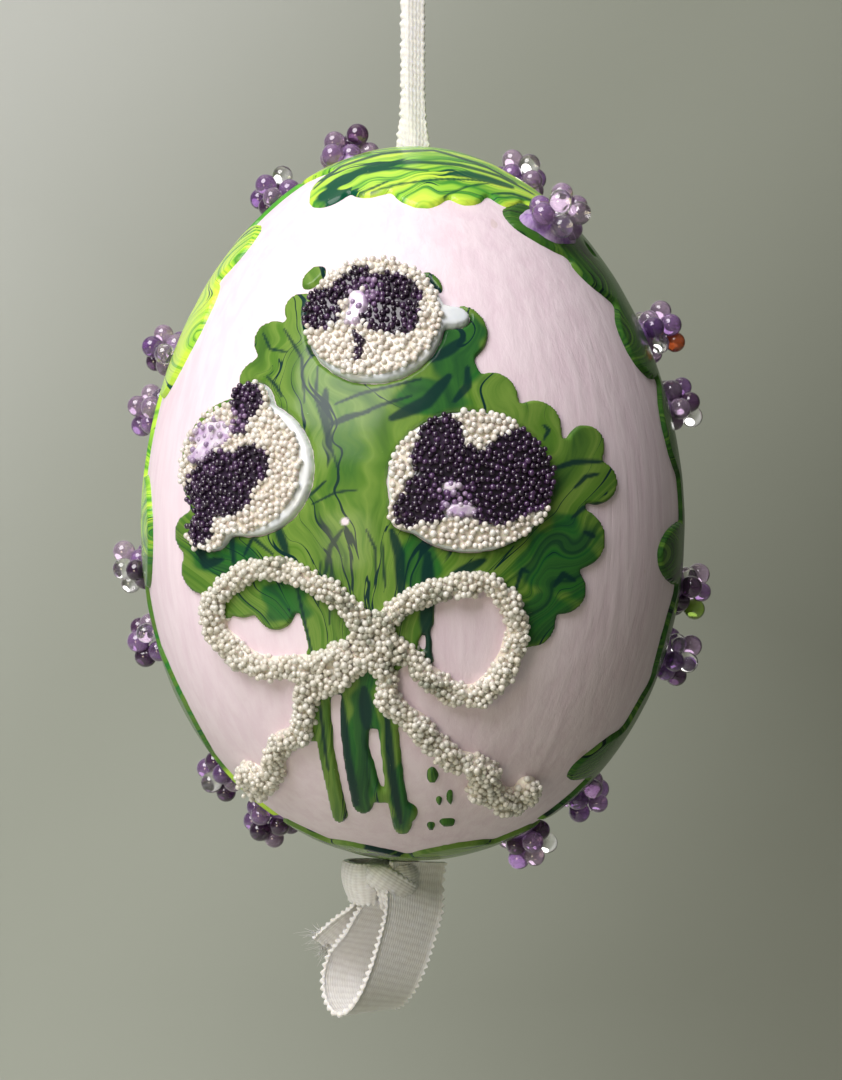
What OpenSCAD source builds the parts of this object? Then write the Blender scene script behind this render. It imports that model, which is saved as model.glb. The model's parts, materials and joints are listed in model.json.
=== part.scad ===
// Decorated hanging egg: a blown hen's egg, painted, with raised enamel leaves,
// bead-covered pansies, a beaded bow, bead clusters round its rim and a ribbon
// through its two blow holes. Z is up and the origin is the hanging point, at the
// inside top of the ribbon loop. The bouquet faces -Y.

/* [Egg] */
// Height of the egg, end to end
egg_h = 60; // [56:1:66]
// Widest diameter of the egg
egg_w = 45.4; // [43:0.2:50]
// How much wider the lower end is than the upper one
egg_bias = 0.065; // [0:0.005:0.12]
// Thickness of the shell
shell_wall = 0.4; // [0.3:0.05:0.6]
// Thickness of the ground paint
coat_wall = 0.15; // [0.1:0.05:0.2]
// Diameter of the blow hole at each end
hole_d = 4; // [3.4:0.2:5]

/* [Decoration] */
// Height of the leaf enamel above the ground paint
enamel_h = 0.3; // [0.2:0.05:0.4]
// Height of the white petal discs above the ground paint
petal_h = 0.7; // [0.5:0.05:0.9]
// Height of the layer of microbeads on a petal disc
microbead_h = 0.5; // [0.4:0.05:0.6]
// Width of the beaded rope that makes the bow
rope_w = 2; // [1.6:0.1:2.4]
// Height of the beaded rope above the ground paint
rope_h = 1.3; // [1:0.1:1.6]
// Diameter of a glass bead in the clusters
bead_d = 1.9; // [1.7:0.05:1.95]

/* [Ribbon] */
// From the hanging point down to the top of the egg
hang_gap = 46; // [44:1:60]
// From the hanging point down to the middle of the upper knot
knot_drop = 26; // [24:1:28]
// Radius of the upper knot
knot_r = 3; // [2.4:0.2:3.2]
// Width of the ribbon laid flat
ribbon_w = 6; // [5:0.5:6.5]
// Width of the ribbon where it is folded to pass through the egg
fold_w = 2.4; // [2:0.1:2.6]
// Thickness of the folded ribbon
fold_t = 1.2; // [0.8:0.1:1.4]
// Thickness of one layer of ribbon in its loops and its tail
ribbon_t = 0.5; // [0.4:0.05:0.6]

/* [Hidden] */

half_h = egg_h / 2;
half_w = egg_w / 2;
egg_z = -hang_gap - half_h;        // height of the egg's middle
profile_step = 6;                  // degrees between the profile's points
smooth = 96;                       // facets of a full turn
reach = egg_w;                     // a length that passes right out of the egg
joint_gap = 0.3;                   // clearance of the ribbon round a knot
bead_r = bead_d / 2;
bead_lift = enamel_h + bead_r + 0.05;  // middle of a cluster's lower beads
knot_top = -half_h - enamel_h - joint_gap;
knot_h = 3.6;                      // height of the lower knot
knot_x = -1.4;                     // it sits a little to the left of the axis
contact = 0.01;                    // gap between the knot and what hangs from it
loop_top = knot_top - 2.6;         // the lower loop starts inside the knot
loop_turn = -50;                   // the lower loop is turned away from the front
loop_lean = 18;                    // and leans to the left

// ---------- The egg's surface ----------

// Distance from the axis and height of the profile at latitude a, moved out by off
function profile_r(a) = half_w * (1 - egg_bias * sin(a)) * cos(a);
function profile_z(a) = half_h * sin(a);
function slope(a) = [half_h * cos(a),
    half_w * (egg_bias * pow(cos(a), 2) + sin(a) * (1 - egg_bias * sin(a)))];
function normal(a) = slope(a) / norm(slope(a));
function profile_at(a, off) = [profile_r(a), profile_z(a)] + off * normal(a);

// The solid inside the egg's surface moved out by off
module egg_solid(off) {
    inner = [for (a = [-90 + profile_step : profile_step : 90 - profile_step])
        profile_at(a, off)];
    rotate_extrude($fn = smooth)
        polygon(concat([[0, -half_h - off]], inner, [[0, half_h + off]]));
}

// Everything drawn by the children between two distances above the ground paint
module layer(low, high) {
    difference() {
        intersection() {
            egg_solid(high);
            children();
        }
        egg_solid(low);
    }
}

module blow_holes() {
    translate([0, 0, -reach]) cylinder(d = hole_d, h = 2 * reach, $fn = smooth);
}

// Flat outlines pushed through one face of the egg
module from_front() rotate([90, 0, 0]) linear_extrude(reach) children();
module from_above() linear_extrude(reach) children();
module from_below() translate([0, 0, -reach]) linear_extrude(reach) children();
module from_left() rotate([90, 0, -90]) linear_extrude(reach) mirror([1, 0]) children();
module from_right() rotate([90, 0, 90]) linear_extrude(reach) children();

// ---------- Flat drawing tools ----------

// An oval with half sizes rx and ry, turned by tilt
module oval(x, y, rx, ry, tilt = 0) {
    translate([x, y]) rotate(tilt)
        polygon([for (t = [0 : 15 : 345]) [rx * cos(t), ry * sin(t)]]);
}

module dot(x, y, r) oval(x, y, r, r);

// A straight stroke with round ends
module stroke(a, b, w) {
    turn = atan2(b[1] - a[1], b[0] - a[0]) + 90;
    polygon(concat(arc(a[0], a[1], w / 2, w / 2, turn, turn + 180, 10),
        arc(b[0], b[1], w / 2, w / 2, turn + 180, turn + 360, 10)));
}

// A stroke through a row of points
module line(points, w) {
    for (i = [0 : len(points) - 2]) stroke(points[i], points[i + 1], w);
}

// Points on the arc of an oval, from angle a to angle b
function arc(x, y, rx, ry, a, b, n) =
    [for (i = [0 : n]) let (t = a + (b - a) * i / n) [x + rx * cos(t), y + ry * sin(t)]];

// ---------- The eggshell and its paint ----------

module eggshell() {
    color("antiquewhite") translate([0, 0, egg_z]) difference() {
        egg_solid(-coat_wall);
        egg_solid(-coat_wall - shell_wall);
        blow_holes();
    }
}

module ground_coat() {
    color("lavenderblush") translate([0, 0, egg_z]) difference() {
        egg_solid(0);
        egg_solid(-coat_wall);
        blow_holes();
    }
}

// ---------- The wreath round the rim ----------

// Scalloped cap round the upper hole, drawn from above
module crown_outline() {
    oval(1.8, 0, 11.4, 8.6);
    for (side = [0, 1]) mirror([0, side]) {
        oval(-6, -8.6, 2.4, 2.8, -20);
        oval(-2.9, -9.4, 2.6, 2.8);
        oval(0.7, -10, 2.9, 3.6);
        oval(3.9, -9.4, 2.3, 3.2);
        oval(6.6, -8, 2.2, 2.9, 20);
        oval(9.2, -6.6, 2, 2.4, 30);
    }
}

// Scalloped cap round the lower hole, drawn as if seen from above
module base_outline() {
    oval(0, 0, 11, 5.4);
    for (side = [0, 1]) mirror([0, side]) {
        oval(-8.4, -3.6, 2.6, 2, -20);
        oval(-3.6, -4.8, 3.4, 2.6);
        oval(3.2, -5, 3.6, 3);
        oval(7.6, -3.4, 2.6, 2.2, 20);
    }
}

// Leaves down one side, each [y, z, half width, half height, tilt], front and back alike,
// on a band that is front_w wide before the rim and wider behind it, under the clusters
module rim_outline(leaves, front_w) {
    foot = -26.4;
    top = 27;
    back_w = 8.4;
    translate([-front_w, foot]) square([front_w + back_w, top - foot]);
    for (side = [0, 1]) mirror([side, 0])
        for (leaf = leaves) oval(leaf[0], leaf[1], leaf[2], leaf[3], leaf[4]);
}

left_leaves = [
    [-4.2, 20, 4, 3, -20], [-5.8, 13.4, 3.4, 4.9, 14], [-4.2, -2.4, 3.9, 4.8, 0],
    [-2.6, -16.5, 3.4, 4.6, 0]
];
right_leaves = [
    [-8.8, 22, 3.6, 2.4, 10], [-6, 18, 5, 2.4, -10], [-6.6, 13.4, 4, 3.2, 25],
    [-3.6, 6, 4.4, 4.2, 0], [-6, -4.2, 5.2, 2.6, 0], [-3, -11, 3.9, 4.4, 0],
    [-3, -17.6, 3.6, 3.6, 0], [-6, -20.6, 4.6, 2.2, 10]
];

module wreath_crown() {
    color("limegreen") translate([0, 0, egg_z]) difference() {
        layer(0, enamel_h) from_above() crown_outline();
        blow_holes();
    }
}

module wreath_base() {
    color("olivedrab") translate([0, 0, egg_z]) difference() {
        layer(0, enamel_h) from_below() base_outline();
        blow_holes();
    }
}

module wreath_left() {
    color("yellowgreen") translate([0, 0, egg_z]) difference() {
        layer(0, enamel_h) from_left() rim_outline(left_leaves, 2.4);
        from_above() crown_outline();
        from_below() base_outline();
    }
}

module wreath_right() {
    color("darkgreen") translate([0, 0, egg_z]) difference() {
        layer(0, enamel_h) from_right() rim_outline(right_leaves, 5.4);
        from_above() crown_outline();
        from_below() base_outline();
    }
}

// ---------- The bouquet, drawn from the front ----------

// The mass of leaves behind the flowers, with the stems below
module leaves_outline() {
    polygon([
        [-9, 14.5], [-4, 17], [1, 15.5], [4, 12.5], [6, 8], [9.5, 6], [13, 4], [13.5, 0],
        [12, -5], [10.5, -8.5], [8, -8.5], [7, -6.5], [1.5, -6.5], [0.5, -11], [-1, -13],
        [-1.4, -17.6], [-5.2, -17.6], [-5.6, -12.5], [-7.8, -12], [-8.6, -8.6], [-10, -7],
        [-16.5, -5.5], [-17, -2], [-16.5, 4], [-12.5, 9], [-10.5, 12.5]
    ]);
    dot(-8.5, 14.8, 1.5);
    dot(-10.7, 12.4, 1.7);
    dot(-11.4, 9, 2.2);
    oval(-13, 2.6, 5.4, 5.6);
    dot(-17, -2.6, 1.9);
    dot(-16.2, -5.4, 2.1);
    dot(-13.2, -7.4, 1.8);
    oval(-10.5, -8.2, 1.7, 1.9);
    oval(-3.6, 17.2, 1.8, 1.5, 20);
    dot(1, 16.4, 1.4);
    dot(3.6, 12.8, 2.3);
    dot(6.2, 7.8, 2);
    dot(9.5, 5.6, 2.1);
    dot(13.5, 4.3, 1.6);
    dot(14.3, 1.4, 1.8);
    dot(12.7, -3, 2.4);
    dot(11.5, -6.9, 2);
    dot(9.1, -9.4, 2);
    oval(0, -9.4, 0.9, 1.8);
    stems_outline();
}

module stems_outline() {
    line([[-7.2, -11], [-6.7, -19.6], [-5.8, -25.2]], 1.3);
    line([[-4.8, -16], [-4.5, -20], [-3.9, -24]], 1.8);
    line([[-2, -16], [-1.4, -22], [-0.8, -26]], 1.6);
    line([[-3.6, -17.4], [-3.2, -20.4], [-2.6, -23.2]], 0.5);
    dot(-2.5, -23.3, 0.6);
    dot(-0.4, -24.8, 0.9);
    stroke([1.1, -7], [1.2, -9.4], 1.1);
    line([[1.2, -9.4], [1.3, -11], [1.5, -13]], 0.5);
}

// Ground left bare between the stems
module stem_gap_outline() {
    oval(-2.9, -19, 0.4, 1.4, 5);
    oval(-5.9, -15.6, 0.3, 2, 5);
}

module top_disc_outline() {
    oval(-2.8, 13.7, 5.4, 4.9, 10);
    oval(3, 14, 1.5, 0.9, -5);
}

module left_disc_outline() {
    oval(-12.6, 2.4, 5.2, 5.3);
    oval(-12.2, 7.5, 1.6, 1.7);
    oval(-15.6, -2.4, 1.7, 1.6);
}

module right_disc_outline() {
    oval(4.4, 1.3, 6.3, 5.4);
    dot(-0.2, -0.9, 1.6);
}

// Bead fields stop short of the disc's edge, most at the lower right
module top_field_outline() oval(-2.95, 13.85, 5.1, 4.6, 10);

module left_field_outline() {
    oval(-12.9, 2.5, 4.7, 5);
    oval(-12.2, 7.5, 1.5, 1.6);
    oval(-15.6, -2.4, 1.6, 1.5);
}

module right_field_outline() {
    oval(4.4, 1.35, 6.1, 5.15);
    dot(-0.2, -0.9, 1.5);
}

module top_dark_outline() {
    dot(-6.9, 14.4, 1.6);
    stroke([-5.2, 15.8], [-3.8, 17], 1.6);
    dot(-1.9, 15.6, 1.6);
    dot(-0.9, 15.4, 1.6);
    dot(-0.9, 13.8, 1.5);
    dot(-2.4, 13.9, 1.3);
}

module left_dark_outline() {
    oval(-12.3, 7.5, 1.3, 1.4);
    stroke([-12.5, 6.6], [-12.8, 5.4], 1.1);
    dot(-14.2, 1.2, 2.6);
    dot(-15.9, 0.2, 1.6);
    dot(-12, 2.6, 1.6);
    oval(-16, -2, 1.1, 1.5, 15);
}

module right_dark_outline() {
    dot(2.1, 4.6, 1.7);
    dot(1.3, 3, 1.4);
    dot(3.4, 2, 2.1);
    dot(7.8, 1.9, 3.1);
    dot(8.1, 3.6, 1.6);
    oval(6.2, -0.2, 2.6, 1.8);
    dot(1.4, 0.2, 2);
    dot(-0.1, -0.9, 1.2);
}

module top_eye_outline() {
    oval(-4, 14.9, 0.8, 1, 20);
    dot(-4.4, 13.7, 0.7);
}

module left_eye_outline() {
    oval(-15, 5, 1.6, 1.1, 15);
    oval(-15.9, 3.5, 1, 0.6, 20);
}

module right_eye_outline() {
    oval(2.8, 0.9, 0.6, 0.5);
    oval(3.6, -0.9, 1.3, 0.6);
}

// The bow: rounded strokes of beaded rope
left_loop_route = [
    [-3.6, -9.4], [-4.9, -7.8], [-7.5, -6.1], [-10, -5.2], [-12.4, -5.5], [-14.4, -6.6],
    [-15.4, -8.2], [-15, -10.2], [-13.7, -11.9], [-11.6, -12.8], [-9, -12.9], [-6.4, -12.2],
    [-4.6, -11.2]
];
right_loop_route = [
    [-2.2, -9.2], [-0.8, -7.9], [1.4, -6.9], [3.9, -6.4], [6, -6.5], [7.4, -7.6], [7.9, -9.6],
    [7.5, -11.8], [6.4, -13.8], [4.8, -14.9], [2.8, -14.6], [1.2, -13.3], [0, -12], [-1.4, -10.9]
];
left_tail_route = [
    [-4.4, -12.6], [-6, -14], [-8, -14.6], [-8.1, -16.4], [-8.4, -18.2], [-10.2, -18.9],
    [-10.7, -20.6], [-11.1, -22.2], [-12.4, -23.2], [-13.2, -21.6]
];
right_tail_route = [
    [-2, -13], [-1.9, -15.4], [-0.2, -16.6], [1.4, -18.2], [2.9, -19.9], [5, -20.6],
    [6.3, -21.3], [5, -22.8], [7.2, -23.5], [8.4, -24.1], [9.2, -22.6]
];
bow_middle = [-3, -11];

module bow_knot_outline() oval(bow_middle[0], bow_middle[1], 1.7, 2.1);
module left_loop_outline() line(left_loop_route, rope_w);
module right_loop_outline() line(right_loop_route, rope_w);
module left_tail_outline() line(left_tail_route, rope_w);
module right_tail_outline() line(right_tail_route, rope_w);

module bow_outline() {
    bow_knot_outline();
    left_loop_outline();
    right_loop_outline();
    left_tail_outline();
    right_tail_outline();
}

module bouquet_leaves() {
    color("forestgreen") translate([0, 0, egg_z]) layer(0, enamel_h) from_front() difference() {
        leaves_outline();
        stem_gap_outline();
        top_disc_outline();
        left_disc_outline();
        right_disc_outline();
        bow_outline();
    }
}

module loose_leaf() {
    color("yellowgreen") translate([0, 0, egg_z]) layer(0, enamel_h)
        from_front() oval(-7.7, 17.5, 1.3, 0.7, 45);
}

module stem_drops() {
    color("darkgreen") translate([0, 0, egg_z]) layer(0, enamel_h) from_front() {
        oval(1.6, -21.5, 0.5, 0.7);
        oval(3, -23.4, 0.3, 0.7);
        oval(2.1, -23.7, 0.3, 0.4);
        oval(2.8, -25.7, 0.7, 0.4);
        oval(1.5, -26, 0.4, 0.4);
    }
}

// A white petal disc, raised above the ground paint
module petal_disc() {
    color("white") translate([0, 0, egg_z]) layer(0, petal_h) from_front() difference() {
        children();
        bow_outline();
    }
}

// A patch of microbeads or glue on top of a disc: the first child less the others
module bead_patch(tint) {
    color(tint) translate([0, 0, egg_z]) layer(petal_h, petal_h + microbead_h)
        from_front() difference() {
            children(0);
            for (i = [1 : 1 : $children - 1]) children(i);
        }
}

module top_pansy_disc() petal_disc() top_disc_outline();
module left_pansy_disc() petal_disc() left_disc_outline();
module right_pansy_disc() petal_disc() right_disc_outline();

module top_pansy_pale_beads() bead_patch("antiquewhite") {
    top_field_outline();
    top_dark_outline();
    top_eye_outline();
}

module left_pansy_pale_beads() bead_patch("antiquewhite") {
    left_field_outline();
    left_dark_outline();
    left_eye_outline();
}

module right_pansy_pale_beads() bead_patch("antiquewhite") {
    right_field_outline();
    right_dark_outline();
    right_eye_outline();
}

module top_pansy_dark_beads() bead_patch("indigo") {
    intersection() {
        top_dark_outline();
        top_field_outline();
    }
    top_eye_outline();
}

module left_pansy_dark_beads() bead_patch("indigo") {
    intersection() {
        left_dark_outline();
        left_field_outline();
    }
    left_eye_outline();
}

module right_pansy_dark_beads() bead_patch("indigo") {
    intersection() {
        right_dark_outline();
        right_field_outline();
    }
    right_eye_outline();
}

module top_pansy_eye() bead_patch("plum") top_eye_outline();
module left_pansy_eye() bead_patch("plum") left_eye_outline();
module right_pansy_eye() bead_patch("plum") right_eye_outline();

// A length of beaded rope: the first child less the others
module rope() {
    color("linen") translate([0, 0, egg_z]) layer(0, rope_h) from_front() difference() {
        children(0);
        for (i = [1 : 1 : $children - 1]) children(i);
    }
}

module bow_knot() rope() bow_knot_outline();
module bow_left_loop() rope() {
    left_loop_outline();
    bow_knot_outline();
}
module bow_right_loop() rope() {
    right_loop_outline();
    bow_knot_outline();
    left_loop_outline();
}
module bow_left_tail() rope() {
    left_tail_outline();
    bow_knot_outline();
    left_loop_outline();
}
module bow_right_tail() rope() {
    right_tail_outline();
    bow_knot_outline();
    left_loop_outline();
    right_loop_outline();
}

// ---------- Bead clusters on the rim ----------

// Each cluster from the top down: [latitude, turn towards the front]
left_spots = [
    [74, -30], [58, -20], [25, -12], [15, -14], [-10, -11], [-22, -13], [-48, -18], [-60, -18]
];
right_spots = [
    [64, -27], [48, 40], [28, -5], [16, -10], [-14, -10], [-25, -8], [-53, -18], [-67, -18]
];
ring_r = 1.65;                     // four lower beads stand on this circle
side_y = 2.8;                      // two more lie this far out across the rim
upper_r = 1.35;                    // four upper beads stand on this circle
upper_z = 1.55;                    // height of the upper beads above the lower ones
cluster_twist = 6;                 // clusters are turned this way and that in turn
glue_w = 4.8;
glue_l = 7.8;

// Middles of a cluster's beads on its own tangent plane
function cluster_beads(twist) = concat(
    [for (t = [45 : 90 : 315]) [ring_r * cos(t + twist), ring_r * sin(t + twist), 0]],
    [for (t = [90, 270]) [side_y * cos(t + twist), side_y * sin(t + twist), 0]],
    [for (t = [0 : 90 : 270]) [upper_r * cos(t + twist), upper_r * sin(t + twist), upper_z]]);

function twist_of(i) = i % 2 == 0 ? cluster_twist : -cluster_twist;

// Moves its children onto the rim at a spot, on side 1 (right) or -1 (left)
module on_rim(side, spot) {
    place = profile_at(spot[0], 0);
    facing = normal(spot[0]);
    rotate([0, 0, -side * spot[1]]) translate([side * place[0], 0, place[1]])
        rotate([0, side * atan2(facing[0], facing[1]), 0]) children();
}

module beads(twist, r) {
    for (bead = cluster_beads(twist)) translate(bead + [0, 0, bead_lift]) sphere(r = r, $fn = 32);
}

module cluster(side, spots, i) {
    color("mediumpurple") translate([0, 0, egg_z])
        on_rim(side, spots[i - 1]) beads(twist_of(i), bead_r);
}

module cluster_left(i) cluster(-1, left_spots, i);
module cluster_right(i) cluster(1, right_spots, i);

// The puddle of glue that holds one cluster, up to the middle of its lower beads
module glue_puddle(side, spots, i) {
    difference() {
        on_rim(side, spots[i - 1]) translate([-glue_w / 2, -glue_l / 2, 0])
            cube([glue_w, glue_l, bead_lift]);
        egg_solid(enamel_h);
        on_rim(side, spots[i - 1]) beads(twist_of(i), bead_r + 0.02);
    }
}

module cluster_glue() {
    color("thistle") translate([0, 0, egg_z]) for (i = [1 : 8]) {
        glue_puddle(-1, left_spots, i);
        glue_puddle(1, right_spots, i);
    }
}

// ---------- The ribbon ----------

// A teardrop of half width w hanging h below its point at the origin
function teardrop(w, h) = concat([[0, 0]], arc(0, -h + w, w, w, 180, 360, 12));

// A band of ribbon bent into a teardrop, point upwards
module ribbon_loop(w, h) {
    rotate([90, 0, 0]) translate([0, 0, -ribbon_w / 2]) linear_extrude(ribbon_w) difference() {
        polygon(teardrop(w, h));
        translate([0, -3 * ribbon_t]) polygon(teardrop(w - ribbon_t, h - 4 * ribbon_t));
    }
}

module hanging_loop() {
    loop_h = knot_drop + ribbon_t;
    color("white") difference() {
        translate([0, 0, -knot_drop]) mirror([0, 0, 1]) ribbon_loop(5.5, loop_h);
        translate([0, 0, -knot_drop]) sphere(r = knot_r + joint_gap, $fn = 48);
    }
}

module top_knot() {
    color("white") translate([0, 0, -knot_drop]) sphere(r = knot_r, $fn = 48);
}

module ribbon_run() {
    top = -knot_drop - knot_r - joint_gap;
    bottom = egg_z + knot_top;
    color("whitesmoke") translate([-fold_w / 2, -fold_t / 2, bottom])
        cube([fold_w, fold_t, top - bottom]);
}

module bottom_knot() {
    bulge_r = knot_h / 2;
    color("white") translate([knot_x, 0, egg_z + knot_top]) rotate_extrude($fn = 48)
        polygon(concat([[0, 0], [3.4, 0]], arc(2.6, -bulge_r, bulge_r, bulge_r, 60, -60, 8),
            [[0, -knot_h]]));
}

// Leans and turns its children the way the lower loop hangs, and cuts them off at the knot
module below_knot() {
    cut_size = 16;
    difference() {
        translate([-0.8, 0, egg_z + loop_top]) rotate([0, loop_lean, 0])
            rotate([0, 0, loop_turn]) children();
        translate([-cut_size / 2, -cut_size / 2, egg_z + knot_top - knot_h - contact])
            cube([cut_size, cut_size, knot_h + 1]);
    }
}

module bottom_loop() {
    color("white") below_knot() ribbon_loop(3.2, 10);
}

// The ribbon's cut end, which stands off the loop to the left
module ribbon_tail() {
    tail_l = 6;
    tail_w = 3;
    color("white") below_knot() translate([-1.2, -tail_w, -1.6]) rotate([0, 48, 0])
        translate([-ribbon_t, 0, -tail_l]) cube([ribbon_t, tail_w, tail_l]);
}

eggshell();
ground_coat();
wreath_crown();
wreath_left();
wreath_right();
wreath_base();
bouquet_leaves();
loose_leaf();
stem_drops();
top_pansy_disc();
top_pansy_pale_beads();
top_pansy_dark_beads();
top_pansy_eye();
left_pansy_disc();
left_pansy_pale_beads();
left_pansy_dark_beads();
left_pansy_eye();
right_pansy_disc();
right_pansy_pale_beads();
right_pansy_dark_beads();
right_pansy_eye();
bow_left_loop();
bow_right_loop();
bow_knot();
bow_left_tail();
bow_right_tail();
cluster_glue();
cluster_left(1);  // cluster_left_1
cluster_left(2);  // cluster_left_2
cluster_left(3);  // cluster_left_3
cluster_left(4);  // cluster_left_4
cluster_left(5);  // cluster_left_5
cluster_left(6);  // cluster_left_6
cluster_left(7);  // cluster_left_7
cluster_left(8);  // cluster_left_8
cluster_right(1);  // cluster_right_1
cluster_right(2);  // cluster_right_2
cluster_right(3);  // cluster_right_3
cluster_right(4);  // cluster_right_4
cluster_right(5);  // cluster_right_5
cluster_right(6);  // cluster_right_6
cluster_right(7);  // cluster_right_7
cluster_right(8);  // cluster_right_8
hanging_loop();
top_knot();
ribbon_run();
bottom_knot();
bottom_loop();
ribbon_tail();
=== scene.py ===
# Looks of a decorated hanging egg: brushed paint, marbled enamel, microbeads, glass beads and ribbon

import itertools
import json
import math

import bmesh
import bpy
import numpy as np
from mathutils import Vector
from mathutils.bvhtree import BVHTree
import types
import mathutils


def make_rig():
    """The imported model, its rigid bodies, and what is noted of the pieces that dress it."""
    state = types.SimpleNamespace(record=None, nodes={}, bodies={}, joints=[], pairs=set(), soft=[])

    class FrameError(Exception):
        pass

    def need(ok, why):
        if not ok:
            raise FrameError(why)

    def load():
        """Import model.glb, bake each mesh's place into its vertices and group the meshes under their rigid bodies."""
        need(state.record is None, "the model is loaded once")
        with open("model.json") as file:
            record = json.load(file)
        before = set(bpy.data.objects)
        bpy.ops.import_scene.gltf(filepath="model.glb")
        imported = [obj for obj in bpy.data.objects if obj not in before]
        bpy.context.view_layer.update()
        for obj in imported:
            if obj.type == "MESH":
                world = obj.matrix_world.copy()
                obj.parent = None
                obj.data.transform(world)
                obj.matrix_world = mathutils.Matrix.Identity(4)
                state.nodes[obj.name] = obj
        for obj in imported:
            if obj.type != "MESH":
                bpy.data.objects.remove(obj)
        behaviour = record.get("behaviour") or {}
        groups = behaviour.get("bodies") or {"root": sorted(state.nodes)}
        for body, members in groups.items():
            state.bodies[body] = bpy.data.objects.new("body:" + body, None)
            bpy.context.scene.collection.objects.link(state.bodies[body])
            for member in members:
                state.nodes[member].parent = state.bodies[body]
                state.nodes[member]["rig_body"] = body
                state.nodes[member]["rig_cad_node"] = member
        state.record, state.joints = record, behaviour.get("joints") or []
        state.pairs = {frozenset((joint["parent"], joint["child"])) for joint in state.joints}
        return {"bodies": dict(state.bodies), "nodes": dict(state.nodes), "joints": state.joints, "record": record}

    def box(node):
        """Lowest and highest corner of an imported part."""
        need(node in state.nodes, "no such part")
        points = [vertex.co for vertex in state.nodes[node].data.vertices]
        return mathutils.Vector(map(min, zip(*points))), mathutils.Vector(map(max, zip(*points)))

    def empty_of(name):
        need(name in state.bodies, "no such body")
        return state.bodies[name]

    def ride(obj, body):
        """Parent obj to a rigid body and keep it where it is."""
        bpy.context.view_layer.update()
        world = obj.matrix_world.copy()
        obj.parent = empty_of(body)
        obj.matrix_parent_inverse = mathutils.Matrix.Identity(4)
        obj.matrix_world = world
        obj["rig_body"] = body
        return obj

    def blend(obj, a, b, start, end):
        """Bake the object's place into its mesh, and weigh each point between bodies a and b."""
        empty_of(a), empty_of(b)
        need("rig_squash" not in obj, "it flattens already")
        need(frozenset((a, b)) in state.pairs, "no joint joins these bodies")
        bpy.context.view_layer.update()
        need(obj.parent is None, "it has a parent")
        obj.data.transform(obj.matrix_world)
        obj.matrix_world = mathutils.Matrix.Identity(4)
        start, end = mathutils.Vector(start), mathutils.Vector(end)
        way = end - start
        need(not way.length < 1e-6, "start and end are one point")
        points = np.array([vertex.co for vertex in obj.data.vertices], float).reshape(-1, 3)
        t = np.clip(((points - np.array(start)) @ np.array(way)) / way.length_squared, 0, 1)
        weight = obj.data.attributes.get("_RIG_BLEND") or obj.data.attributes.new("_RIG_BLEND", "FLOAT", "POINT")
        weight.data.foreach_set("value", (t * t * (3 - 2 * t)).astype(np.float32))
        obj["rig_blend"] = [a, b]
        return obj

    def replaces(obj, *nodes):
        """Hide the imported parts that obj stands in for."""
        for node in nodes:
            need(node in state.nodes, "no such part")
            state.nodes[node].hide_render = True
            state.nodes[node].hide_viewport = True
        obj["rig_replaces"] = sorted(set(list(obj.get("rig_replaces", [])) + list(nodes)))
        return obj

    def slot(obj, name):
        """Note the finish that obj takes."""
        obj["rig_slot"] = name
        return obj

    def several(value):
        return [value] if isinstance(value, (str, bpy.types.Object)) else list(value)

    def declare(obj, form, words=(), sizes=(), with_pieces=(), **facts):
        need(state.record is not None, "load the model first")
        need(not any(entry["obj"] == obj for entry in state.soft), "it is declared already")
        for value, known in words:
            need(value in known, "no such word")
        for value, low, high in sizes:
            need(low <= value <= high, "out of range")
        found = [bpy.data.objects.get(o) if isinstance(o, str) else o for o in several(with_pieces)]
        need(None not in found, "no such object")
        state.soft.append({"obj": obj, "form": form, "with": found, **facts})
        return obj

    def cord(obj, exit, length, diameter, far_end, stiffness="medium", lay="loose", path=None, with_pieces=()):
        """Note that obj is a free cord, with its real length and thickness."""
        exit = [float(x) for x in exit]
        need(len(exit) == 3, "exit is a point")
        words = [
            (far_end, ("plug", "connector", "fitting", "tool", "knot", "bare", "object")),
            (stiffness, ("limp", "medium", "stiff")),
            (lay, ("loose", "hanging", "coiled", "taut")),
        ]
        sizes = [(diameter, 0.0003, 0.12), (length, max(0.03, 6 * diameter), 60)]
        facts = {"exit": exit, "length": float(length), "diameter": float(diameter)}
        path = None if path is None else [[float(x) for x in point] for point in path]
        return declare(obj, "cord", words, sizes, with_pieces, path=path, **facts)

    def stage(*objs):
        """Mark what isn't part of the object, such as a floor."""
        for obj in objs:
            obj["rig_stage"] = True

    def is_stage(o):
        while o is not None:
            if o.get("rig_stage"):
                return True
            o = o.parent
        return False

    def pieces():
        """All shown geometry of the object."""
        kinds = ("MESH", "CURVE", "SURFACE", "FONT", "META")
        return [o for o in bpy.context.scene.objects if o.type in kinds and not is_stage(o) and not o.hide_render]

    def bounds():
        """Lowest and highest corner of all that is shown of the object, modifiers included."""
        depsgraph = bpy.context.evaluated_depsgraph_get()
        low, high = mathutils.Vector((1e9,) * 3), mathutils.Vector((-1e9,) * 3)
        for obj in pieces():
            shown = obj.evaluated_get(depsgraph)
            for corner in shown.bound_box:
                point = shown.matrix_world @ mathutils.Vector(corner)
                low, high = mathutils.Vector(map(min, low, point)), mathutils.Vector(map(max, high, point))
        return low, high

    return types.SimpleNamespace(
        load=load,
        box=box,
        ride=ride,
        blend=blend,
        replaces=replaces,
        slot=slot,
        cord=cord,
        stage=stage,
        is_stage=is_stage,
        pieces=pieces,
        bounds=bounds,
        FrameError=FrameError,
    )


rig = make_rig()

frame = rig.load()
cad_low, cad_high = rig.bounds()
NODES = frame["nodes"]

# ---------- Sizes, in millimetres about the egg's middle unless they end in _M ----------

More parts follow.
